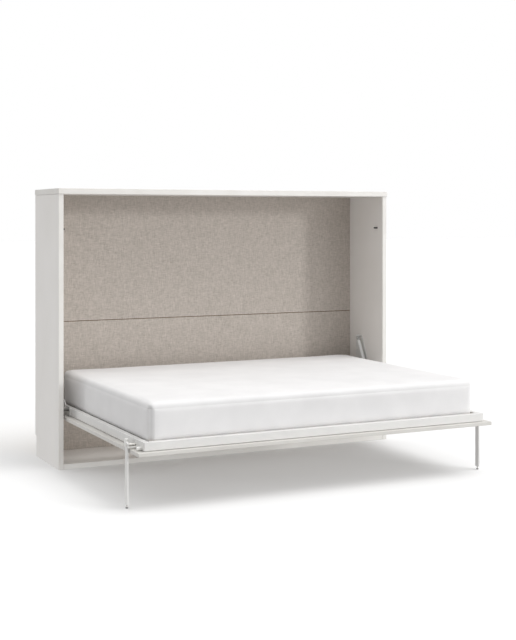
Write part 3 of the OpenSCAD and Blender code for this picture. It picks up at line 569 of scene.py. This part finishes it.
def makeRail(name, node, along, outward):
    # along is the axis that the rail runs on, outward the side of its grooved face
    low, high = boxOf(node)
    across = 1 - along
    start, stop = low[along], high[along]
    outer = high[across] if outward > 0 else low[across]
    inner = low[across] if outward > 0 else high[across]
    step = (high.z - low.z) / (railWork["count"] + 1)
    rebate, foot = outer - outward * railWork["rebateDeep"], low.z + railWork["rebateTall"]
    outline = [(rebate, low.z), (rebate, foot), (outer, foot)]
    deep = outer - outward * railWork["deep"]
    for k in range(1, railWork["count"] + 1):
        bottom, top = low.z + k * step - railWork["wide"] / 2, low.z + k * step + railWork["wide"] / 2
        outline += [(outer, bottom), (deep, bottom), (deep, top), (outer, top)]
    outline += [(outer, high.z), (inner, high.z), (inner, low.z)]
    bm = bmesh.new()

    def spot(side, z, at):
        # side is the coordinate across the rail, at the one along it
        point = [0, 0, z]
        point[across], point[along] = side, at
        return point
    face = bm.faces.new([bm.verts.new(spot(side, z, start)) for side, z in outline])
    moved = vertsOf(bmesh.ops.extrude_face_region(bm, geom=[face])["geom"])
    bmesh.ops.translate(bm, vec=spot(0, 0, stop - start), verts=moved)
    # the ends are open, and the solidify modifier gives the tube its wall
    bmesh.ops.delete(bm, geom=[f for f in bm.faces if len(f.verts) > 4], context="FACES_ONLY")
    bmesh.ops.recalc_face_normals(bm, faces=bm.faces)
    lengthwise = [e for e in bm.edges if abs(e.verts[0].co[along] - e.verts[1].co[along]) > 0.1]
    edges = [e for e in lengthwise
             if e.is_manifold and any(abs(e.verts[0].co.z - z) < hair for z in (low.z, high.z))]
    rims = [e for e in lengthwise if e not in edges and abs(e.verts[0].co[across] - outer) < hair]
    softenEdges(bm, edges, railWork["edge"], 3)
    softenEdges(bm, [e for e in rims if e.is_valid], railWork["lip"])
    rail = finishPiece(name, bm, "bed", [railSteel], node, sharp=railWork["sharp"])
    wall = rail.modifiers.new("wall", "SOLIDIFY")
    wall.thickness, wall.offset = railWork["wall"], -1
    rail.modifiers.move(0, 1)  # the even shading comes last


makeRail("frontRail", "front_rail", 0, -1)
makeRail("rearRail", "rear_rail", 0, 1)
makeRail("leftRail", "left_rail", 1, -1)
makeRail("rightRail", "right_rail", 1, 1)


def makeCorners(name, node, endWidth, outward):
    # posts at both ends of an end rail, each with two tongues inside the rails
    low, high = boxOf(node)
    outerY = low.y if outward < 0 else high.y
    innerY = outerY - outward * endWidth
    x1, x0 = high.x, high.x - railWork["post"]
    foot, rebate = low.z + railWork["rebateTall"], railWork["rebateDeep"]
    inset, tongue, tongueEdge = railWork["inset"], railWork["tongue"], railWork["tongueEdge"]
    bm = bmesh.new()
    for mirrored in (False, True):
        part = bmesh.new()
        addBlock(part, (x0, min(outerY, innerY), foot), (x1, max(outerY, innerY), high.z))
        post = [e for e in part.edges
                if all(abs(v.co.x - x1) < hair and abs(v.co.y - outerY) < hair for v in e.verts)]
        softenEdges(part, post, railWork["corner"], 5)
        softenEdges(part, [e for e in part.edges if e.calc_face_angle(0) > 1], railWork["rim"])
        y0, y1 = sorted((outerY - outward * rebate, innerY))
        addBlock(part, (x0, y0, low.z), (x1 - rebate, y1, foot + railWork["overlap"]))
        y0, y1 = sorted((outerY - outward * inset, innerY + outward * inset))
        addBlock(part, (x0 - tongue, y0, low.z + inset), (x0, y1, high.z - inset), tongueEdge, 1)
        y0, y1 = sorted((innerY, innerY - outward * tongue))
        addBlock(part, (x0 + inset, y0, low.z + inset), (x1 - inset, y1, high.z - inset), tongueEdge, 1)
        if mirrored:
            flipAcross(part)
        joinInto(bm, part)
    finishPiece(name, bm, "bed", [railSteel], node)


makeCorners("frontCorners", "front_corners", 0.030, -1)
makeCorners("rearCorners", "rear_corners", 0.016, 1)

low, high = boxOf("centre_beam")
bm = bmesh.new()
addBlock(bm, low, high, railWork["beamEdge"], 3)
finishPiece("centreBeam", bm, "bed", [greySteel], "centre_beam")

slatWork = {
    "pitch": 0.14, "first": -0.91, "count": 14, "wide": 0.068, "round": 0.0024,
    "lip": 0.004, "restLong": 0.026, "restRound": 0.002,  # the holders reach past the slats by lip
}
low, high = boxOf("slats")
restLow, restHigh = boxOf("slat_holders")
bm, rests = bmesh.new(), bmesh.new()
for k in range(slatWork["count"]):
    x = slatWork["first"] + k * slatWork["pitch"]
    half = slatWork["wide"] / 2
    addBlock(bm, (x - half, low.y, low.z), (x + half, high.y, high.z), slatWork["round"], 3)
    half += slatWork["lip"]
    for y0, y1 in ((restLow.y, restLow.y + slatWork["restLong"]),
                   (restHigh.y - slatWork["restLong"], restHigh.y)):
        addBlock(rests, (x - half, y0, restLow.z), (x + half, y1, restHigh.z), slatWork["restRound"])
finishPiece("slatBoards", bm, "bed", [slatPly], "slats")
finishPiece("slatRests", rests, "bed", [blackNylon], "slat_holders")
print("bed frame made")


# hinges

# outlines are in Y and Z from the pivot, profiles are distance along the pin and radius
hingeWork = {
    "pivot": (0.392, 0.324), "railFace": 0.985, "boardFace": 1.037,
    "plate": [(-0.035, -0.034), (0.095, -0.034), (0.265, 0.146), (0.265, 0.3115),
              (0.197, 0.3115), (0.0539, 0.030), (-0.035, 0.030)],
    "plateThick": 0.003, "plateCorner": 0.009, "plateEdge": 0.0006,
    "flange": 0.036, "flangeLong": 0.026, "flangeThick": 0.004, "flangeEdge": 0.0014, "flangeGap": 0.001,
    "bracket": [(-0.029, -0.036), (0.111, -0.036), (0.111, 0.042), (0.085, 0.042), (0.059, 0.013), (-0.029, 0.013)],
    "bracketThick": 0.006, "bracketCorner": 0.006, "bracketEdge": 0.0009,
    "plateScrews": [(-0.020, -0.018), (0.040, -0.018), (0.110, 0.040),
                    (0.245, 0.120), (0.245, 0.220), (0.245, 0.2865)],
    "screwRod": (0.0189, 0.002),  # length and radius, as for every rod here
    "bolts": [(-0.016, -0.024), (0.030, -0.024), (0.092, -0.024)],
    "boltRod": (0.0159, 0.003),
    "head": (0.005, 0.003),  # radius and height, for screws and bolts
    "pin": [(0, 0), (0, 0.0062), (0.0008, 0.007), (0.0084, 0.007), (0.0084, 0.0094), (0.009, 0.010),
            (0.0483, 0.010), (0.0489, 0.0094), (0.0489, 0.007), (0.0639, 0.007), (0.0639, 0)],
    "pinStart": 0.9851,
    "stud": (1.011, 0.591, 0.617),  # middle of the upper strut eye
    "studRod": (0.0325, 0.004), "studStart": -0.0066, "studCollar": (0.0174, 0.0065), "collarStart": 0.0056,
    "nut": (0.0065, 0.004), "nutStart": -0.0096,
    # the ball stud stands an arm's length behind the pivot
    "arm": 0.050, "ballRod": (0.0198, 0.004), "ballStart": 0.0001,
}
pivotY, pivotZ = hingeWork["pivot"]
railFace, boardFace = hingeWork["railFace"], hingeWork["boardFace"]
plateFace, bracketFace = boardFace - hingeWork["plateThick"], railFace + hingeWork["bracketThick"]


def aboutPivot(points):
    return [(pivotY + y, pivotZ + z) for y, z in points]


for side in ("left", "right"):
    bm = bmesh.new()
    addPlate(bm, aboutPivot(hingeWork["plate"]), plateFace, boardFace,
             hingeWork["plateEdge"], 2, hingeWork["plateCorner"])
    nearY, topZ = aboutPivot(hingeWork["plate"])[4]
    addBlock(bm, (boardFace - hingeWork["flange"], nearY, topZ - hingeWork["flangeThick"]),
             (boardFace - hingeWork["flangeGap"], nearY + hingeWork["flangeLong"], topZ), hingeWork["flangeEdge"], 3)
    # the plate and its flange are lightened as a painted glint over the pale grey coat
    finishSide(side, "HingePlate", bm, "cabinet", plateCoatAndGlint, "_hinge_plate")

    bm = bmesh.new()
    addPlate(bm, aboutPivot(hingeWork["bracket"]), railFace, bracketFace,
             hingeWork["bracketEdge"], 3, hingeWork["bracketCorner"])
    finishSide(side, "BedBracket", bm, "bed", whiteSteel, "_bed_bracket")

    bm = bmesh.new()
    addTurned(bm, hingeWork["pin"], (hingeWork["pinStart"], pivotY, pivotZ), rightward, 32)
    finishSide(side, "PivotPin", bm, "cabinet", dullSteel, "_pivot_pin")

    studX, *studPlace = hingeWork["stud"]
    bm = bmesh.new()
    addTurned(bm, rodProfile(*hingeWork["studRod"]), (studX + hingeWork["studStart"], *studPlace), rightward, 24)
    addTurned(bm, rodProfile(*hingeWork["studCollar"]), (studX + hingeWork["collarStart"], *studPlace), rightward, 24)
    addNut(bm, (studX + hingeWork["nutStart"], *studPlace), rightward, *hingeWork["nut"])
    finishSide(side, "StrutStud", bm, "cabinet", zincSteel, "_upper_stud")

    ball = (pivotY + hingeWork["arm"], pivotZ)
    bm = bmesh.new()
    addTurned(bm, rodProfile(*hingeWork["ballRod"]), (railFace + hingeWork["ballStart"], *ball), rightward, 24)
    addNut(bm, (bracketFace, *ball), rightward, *hingeWork["nut"])
    finishSide(side, "BallStud", bm, "bed", zincSteel, "_ball_stud")

for name, node, body, places, rod, face, outward in (
        ("plateScrewHeads", "plate_screws", "cabinet", "plateScrews", "screwRod", plateFace, Vector(leftward)),
        ("bracketBoltHeads", "bracket_bolts", "bed", "bolts", "boltRod", bracketFace, Vector(rightward))):
    bm = bmesh.new()
    for y, z in aboutPivot(hingeWork[places]):
        addHead(bm, (face, y, z), outward, *hingeWork["head"])
        addTurned(bm, rodProfile(*hingeWork[rod]), (face, y, z), -outward, 12)
    addMirrored(bm)
    finishPiece(name, bm, body, [zincSteel], node)
print("hinges made")


# gas struts, drawn down from the upper mount

# lengths are measured from the mount along the strut, profiles as for the hinges
strutWork = {
    "down": (0, -0.453287646, -0.891364297), "wholeLong": 0.32871,
    "tubeStart": 0.0145, "tubeLong": 0.226, "tubeRadius": 0.011,
    "shoulder": [(0, 0), (0, 0.0055), (0.0012, 0.0085), (0.0035, 0.0105)],
    "groove": (0.014, 0.0128, 0.0112, 0.010), "grooveDeep": 0.0009,  # from the tube's lower end
    "bore": 0.0096, "boreDeep": 0.012, "inside": [(0.006, 0.0094), (0.006, 0)],
    "gland": [(-0.0138, 0.0052), (-0.0138, 0.0093), (0, 0.0093), (0, 0.0101), (0.0007, 0.0105), (0.0022, 0.0105),
              (0.003, 0.0096), (0.003, 0.0066), (0.0022, 0.0052), (-0.0138, 0.0052)],
    "eyeHalf": 0.0055, "eyeOuter": 0.0105, "eyeInner": 0.0041, "eyeRim": 0.0012,
    "neck": [(0.0095, 0.0045), (0.0115, 0.0045), (0.013, 0.005)],
    "rodStart": 0.0905, "rodRadius": 0.005, "rodEnd": 0.0135, "rodRim": 0.0006,
    "pistonStart": 0.0785, "piston": (0.012, 0.0094),
    "socket": [(0, 0), (0, 0.0085), (0.0012, 0.010), (0.0098, 0.010), (0.011, 0.0088), (0.011, 0)],
    "socketNeck": [(0.0085, 0.0048), (0.0112, 0.0048), (0.0122, 0.005),
                   (0.0132, 0.005), (0.0135, 0.0047), (0.0135, 0)],
}
mount, down = Vector(hingeWork["stud"]), Vector(strutWork["down"])


def strutAt(distance):
    return mount + down * distance


for side in ("left", "right"):
    start, long, radius = strutWork["tubeStart"], strutWork["tubeLong"], strutWork["tubeRadius"]
    grooveTop, grooveIn, grooveOut, grooveFoot = (long - up for up in strutWork["groove"])
    grooved = radius - strutWork["grooveDeep"]
    bm = bmesh.new()
    addTurned(bm, strutWork["shoulder"] + [
        (0.0055, radius), (grooveTop, radius), (grooveIn, grooved), (grooveOut, grooved), (grooveFoot, radius),
        (long - 0.0012, radius), (long, grooved), (long, strutWork["bore"]),
        (long - strutWork["boreDeep"], strutWork["bore"])] + strutWork["inside"], strutAt(start), down, 36)
    finishSide(side, "StrutTube", bm, "_cylinder", greySteel, "_strut_tube")

    bm = bmesh.new()
    addTurned(bm, strutWork["gland"], strutAt(start + long), down, 32)
    finishSide(side, "StrutGland", bm, "_cylinder", blackNylon, "_strut_gland")

    half, outer, inner, rim = (strutWork[key] for key in ("eyeHalf", "eyeOuter", "eyeInner", "eyeRim"))
    bm = bmesh.new()
    addTurned(bm, [(-half, inner), (-half, outer - rim), (-half + rim, outer), (half - rim, outer),
                   (half, outer - rim), (half, inner), (-half, inner)], mount, rightward, 36)
    addTurned(bm, strutWork["neck"] + [(start, 0.005), (start, 0)], mount, down, 24)
    finishSide(side, "StrutEye", bm, "_cylinder", paleNylon, "_upper_eye")

    whole, rodStart = strutWork["wholeLong"], strutWork["rodStart"]
    bm = bmesh.new()
    addTurned(bm, rodProfile(whole - strutWork["rodEnd"] - rodStart, strutWork["rodRadius"], strutWork["rodRim"]),
              strutAt(rodStart), down)
    addTurned(bm, rodProfile(*strutWork["piston"]), strutAt(strutWork["pistonStart"]), down)
    finishSide(side, "StrutRod", bm, "_rod", chromeRod, "_strut_rod")

    foot = strutAt(whole)
    bm = bmesh.new()
    addTurned(bm, strutWork["socket"], foot - Vector((strutWork["eyeHalf"], 0, 0)), rightward, 32)
    addTurned(bm, strutWork["socketNeck"], foot, -down, 24)
    finishSide(side, "StrutSocket", bm, "_rod", blackNylon, "_ball_socket")
print("gas struts made")


# legs and stops

legWork = {
    "x": (1.0255, 1.0335), "y": -0.665, "half": 0.015, "foot": 0.017, "top": 0.318, "chamfer": 0.006, "edge": 0.0009,
    "pad": [(0, 0), (0, 0.0052), (0.0006, 0.0062), (0.0016, 0.0065),
            (0.0042, 0.0065), (0.0054, 0.0056), (0.006, 0.004), (0.006, 0)],
    "threadStart": 0.006, "threadCount": 10, "pitch": 0.0011, "crest": 0.0025, "root": 0.0021, "screwTop": 0.037,
    "nutZ": 0.013, "nut": (0.00375, 0.0037),
    "pivot": 0.304, "pinStart": 0.975,
    "pin": [(0, 0), (0, 0.004), (0.010, 0.004), (0.010, 0.0074), (0.0106, 0.008), (0.0494, 0.008), (0.050, 0.0074),
            (0.050, 0.005), (0.0588, 0.005), (0.0588, 0.0074), (0.0593, 0.008), (0.0602, 0.008),
            (0.0608, 0.0066), (0.0608, 0)],
}
for side in ("left", "right"):
    x0, x1 = legWork["x"]
    y, half, top, chamfer = legWork["y"], legWork["half"], legWork["top"], legWork["chamfer"]
    bm = bmesh.new()
    addPlate(bm, [(y - half, legWork["foot"]), (y + half, legWork["foot"]), (y + half, top),
                  (y - half + chamfer, top), (y - half, top - chamfer)], x0, x1, legWork["edge"], 3)
    finishSide(side, "LegBar", bm, "_leg", whiteSteel, "_leg")

    centreX = (x0 + x1) / 2
    bm = bmesh.new()
    addTurned(bm, legWork["pad"], (centreX, y, 0), upward)
    finishPiece(side + "FootPad", bm, side + "_leg", [greyNylon], None, side == "left")
    bm = bmesh.new()
    start, pitch, crest, root = (legWork[key] for key in ("threadStart", "pitch", "crest", "root"))
    thread = [(start - 0.0002, 0)]
    for k in range(legWork["threadCount"]):
        thread += [(start + pitch * k, crest), (start + pitch * (k + 0.5), root)]
    thread += [(start + pitch * legWork["threadCount"] + 0.0002, crest), (legWork["screwTop"], crest),
               (legWork["screwTop"], 0)]
    addTurned(bm, thread, (centreX, y, 0), upward, 16)
    addNut(bm, (centreX, y, legWork["nutZ"]), upward, *legWork["nut"])
    finishSide(side, "FootScrew", bm, "_leg", zincSteel, "_foot")

    bm = bmesh.new()
    addTurned(bm, legWork["pin"], (legWork["pinStart"], y, legWork["pivot"]), rightward, 32)
    finishSide(side, "LegPin", bm, "bed", zincSteel, "_leg_pin")

# a leg rests on its stop: a pin through the rail, and a round cap beside it on one plate
stopWork = {
    "pin": (0.0575, 0.004), "pinStart": 0.975, "y": -0.6843, "z": 0.295,
    "plate": 0.008, "plateThick": 0.003, "plateEdge": 0.0009,
    "capY": -0.7413, "capZ": 0.297,
    "cap": [(0, 0), (0, 0.010), (0.0208, 0.010), (0.0222, 0.0094), (0.0234, 0.0078),
            (0.024, 0.0052), (0.024, 0.0046), (0.0228, 0.004), (0.0228, 0)],
}
y, z, plate = stopWork["y"], stopWork["z"], stopWork["plate"]
bm = bmesh.new()
addTurned(bm, rodProfile(*stopWork["pin"]), (stopWork["pinStart"], y, z), rightward, 24)
addTurned(bm, stopWork["cap"], (railFace, stopWork["capY"], stopWork["capZ"]), rightward, 36)
addBlock(bm, (railFace, stopWork["capY"] - plate, z - plate),
         (railFace + stopWork["plateThick"], y + plate, z + plate), stopWork["plateEdge"])
addMirrored(bm)
finishPiece("legStops", bm, "bed", [whiteNylon], "leg_stops")

# a buffer is an L-shaped block with a soft pad, which meets the stop pin when the bed is closed
bufferWork = {"post": 0.014, "base": 0.005, "edge": 0.001,
              "pad": 0.004, "padInset": 0.0008, "padSunk": 0.0005, "padRound": 0.0014}
low, high = boxOf("closing_buffers")
postX, padZ, inset = high.x - bufferWork["post"], high.z - bufferWork["pad"], bufferWork["padInset"]
bm = bmesh.new()
addBlock(bm, (railFace, low.y, low.z), (high.x, high.y, low.z + bufferWork["base"]), bufferWork["edge"])
addBlock(bm, (postX, low.y, low.z), (high.x, high.y, padZ), bufferWork["edge"])
addMirrored(bm)
finishPiece("bufferBlocks", bm, "bed", [whiteNylon], "closing_buffers")
bm = bmesh.new()
addBlock(bm, (postX + inset, low.y + inset, padZ - bufferWork["padSunk"]),
         (high.x - inset, high.y - inset, high.z), bufferWork["padRound"], 3)
addMirrored(bm)
finishPiece("bufferPads", bm, "bed", [whiteNylon])

stopPin = [(0, 0), (0, 0.0034), (0.0006, 0.0044), (0.0016, 0.005), (0.0236, 0.005), (0.039, 0.005), (0.039, 0)]
low, high = boxOf("stop_pins")
bm = bmesh.new()
addTurned(bm, stopPin, (high.x - stopPin[-1][0], (low.y + high.y) / 2, (low.z + high.z) / 2), rightward, 32)
addMirrored(bm)
finishPiece("stopPins", bm, "cabinet", [blackNylon], "stop_pins")
print("legs and stops made")


# nodes that keep their solids

for node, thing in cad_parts.items():
    coat = slotFinish[slotOfNode[node]]
    thing.data.materials.clear()
    thing.data.materials.append(coat)
print("carried nodes painted")


# mattress

mattressWork = {
    "corner": 0.031, "top": 0.026, "bottom": 0.016,  # radii of the upright, upper and lower edges
    "shrink": 0.0025, "below": 0.006,  # room left at the sides and on top for the swelling
    "cell": 0.022, "rows": (0.028, 0.048, 0.068, 0.088, 0.108, 0.128, 0.143),  # spacing of the mesh
    "seam": 0.031, "seamDeep": 0.0021, "seamRows": (-0.012, -0.004, 0, 0.003),  # from the top, and round it
    "crown": 0.005, "pull": 0.0035,  # rise of the top, and draw of the sides
    "tuck": 0.0095, "tuckWide": 0.017, "tuckSewn": 0.010,  # upright seams at the corners
    "tuckTop": 0.97, "foot": 0.04,  # shares of the height, the foot is held by the cloth below
    "underTilt": -0.4,  # faces that look down more than this are the underside
    "cloth": {"quality": 6, "mass": 0.3, "tension_stiffness": 12, "compression_stiffness": 12,
              "bending_stiffness": 0.6, "use_pressure": True, "uniform_pressure_force": 4.0,
              "vertex_group_mass": "stitched"},
    "frames": 20, "capTop": 0.0035, "capSide": 0.0022, "sharp": 80,
}


def makeMattress(work):
    low, high = boxOf("mattress")
    high.z -= work["below"]
    inset = Vector((work["shrink"], work["shrink"], 0))
    low, high = low + inset, high - inset
    bm = bmesh.new()
    addBlock(bm, low, high)
    upright = [e for e in bm.edges if abs(e.verts[0].co.z - e.verts[1].co.z) > 0.01]
    softenEdges(bm, upright, work["corner"], 12)
    for level, roundness, steps in ((high.z, work["top"], 5), (low.z, work["bottom"], 3)):
        around = [e for e in bm.edges
                  if all(abs(v.co.z - level) < hair for v in e.verts) and e.calc_face_angle(0) > 1]
        softenEdges(bm, around, roundness, steps)
    cuts = []
    reach = work["corner"] + 0.002
    for axis, start, stop in ((0, low.x + reach, high.x - reach), (1, low.y + reach, high.y - reach)):
        count = round((stop - start) / work["cell"])
        for k in range(count + 1):
            point = Vector((0, 0, 0))
            point[axis] = start + (stop - start) * k / count
            cuts.append((point, Vector((axis == 0, axis == 1, 0))))
    seamZ = high.z - work["seam"]
    for z in [low.z + row for row in work["rows"]] + [seamZ + row for row in work["seamRows"]]:
        cuts.append((Vector((0, 0, z)), upward))
    for point, normal in cuts:
        bmesh.ops.bisect_plane(bm, geom=bm.verts[:] + bm.edges[:] + bm.faces[:], dist=hair,
                               plane_co=point, plane_no=normal)
    bm.normal_update()
    bm.verts.index_update()
    centre = (low + high) / 2
    half = (high - low) / 2
    stitched = []
    for vert in bm.verts:
        across, along = (vert.co.x - centre.x) / half.x, (vert.co.y - centre.y) / half.y
        rise = (vert.co.z - low.z) / (high.z - low.z)
        out = Vector((vert.normal.x, vert.normal.y, 0))
        onSeam = abs(vert.co.z - seamZ) < 0.001
        # the sides are drawn in between the corners, and the corners are tucked in along their upright seams
        draw = work["pull"] * math.sin(math.pi * min(max(rise, 0), 1))
        seamIn = work["corner"] * 0.3  # how far the rounded corner lies inside the square one
        fromCorner = math.hypot(abs(vert.co.x - centre.x) - half.x + seamIn,
                                abs(vert.co.y - centre.y) - half.y + seamIn)
        belowTop = min(1, max(0, (work["tuckTop"] - rise) * 8))
        tuck = work["tuck"] * math.exp(-(fromCorner / work["tuckWide"]) ** 2) * belowTop
        if abs(across) > 0.99 or abs(along) > 0.99:
            draw *= (1 - along ** 2) if abs(across) > abs(along) else (1 - across ** 2)
            vert.co -= out * draw
        vert.co -= out * tuck
        # the top is crowned
        if rise > 0.5:
            crown = work["crown"] * max(0, 1 - across ** 4) * max(0, 1 - along ** 4)
            vert.co.z += crown * ((rise - 0.5) * 2) ** 2
        if onSeam:
            vert.co -= out * work["seamDeep"]
        if onSeam or rise < work["foot"] or fromCorner < work["tuckSewn"]:
            stitched.append(vert.index)
    for face in bm.faces:
        # the underside is painted dark grey as the shade in the gap, seen as a dark line above the rails
        if face.normal.z < work["underTilt"]:
            face.material_index = 1
    return bm, stitched


def plumpCover(piece, stitched, work):
    # the cover is blown up a little between its seams, as a tight knit over foam is
    mesh = piece.data
    before = [vert.co.copy() for vert in mesh.vertices]
    piece.vertex_groups.new(name="stitched").add(stitched, 1.0, "REPLACE")
    cloth = piece.modifiers.new("plump", "CLOTH")
    for key, value in work["cloth"].items():
        setattr(cloth.settings, key, value)
    cloth.settings.effector_weights.gravity = 0
    cloth.collision_settings.use_collision = False
    cloth.point_cache.frame_start, cloth.point_cache.frame_end = 1, work["frames"]
    for step in range(1, work["frames"] + 1):
        bpy.context.scene.frame_set(step)
    settled = piece.evaluated_get(bpy.context.evaluated_depsgraph_get()).data
    after = [vert.co.copy() for vert in settled.vertices]
    piece.modifiers.remove(cloth)
    bpy.context.scene.frame_set(1)
    # no point may move further than the caps
    sideCap, topCap = work["capSide"], work["capTop"]
    for vert, first, last in zip(mesh.vertices, before, after):
        moved = last - first
        flat = math.hypot(moved.x, moved.y)
        if flat > 0:
            share = sideCap * math.tanh(flat / sideCap) / flat
            moved.x, moved.y = moved.x * share, moved.y * share
        moved.z = topCap * math.tanh(max(moved.z, 0) / topCap)
        vert.co = first + moved
    piece.vertex_groups.clear()
    mesh.update()


bm, stitched = makeMattress(mattressWork)
mattress = finishPiece("mattressCover", bm, "bed", [knitCover, gapShadeCover], "mattress",
                       sharp=mattressWork["sharp"])
plumpCover(mattress, stitched, mattressWork)
smooth = mattress.modifiers.new("smooth", "SUBSURF")
smooth.levels = smooth.render_levels = 1
print("mattress made:", len(mattress.data.vertices), "points")


# floor

floorWork = {"half": 60, "drop": 0.0005}  # metres, the drop keeps it clear of the boards' feet
bm = bmesh.new()
bmesh.ops.create_grid(bm, x_segments=4, y_segments=4, size=floorWork["half"])
floorMesh = bpy.data.meshes.new("floor")
bm.to_mesh(floorMesh)
bm.free()
floor = bpy.data.objects.new("floor", floorMesh)
bpy.context.scene.collection.objects.link(floor)
floor.location.z = -floorWork["drop"]
# the floor takes shadows, and the world's lower half lights the bed in its place
floor.visible_diffuse = floor.visible_glossy = floor.visible_shadow = False
floorMesh.materials.append(whitePaper)
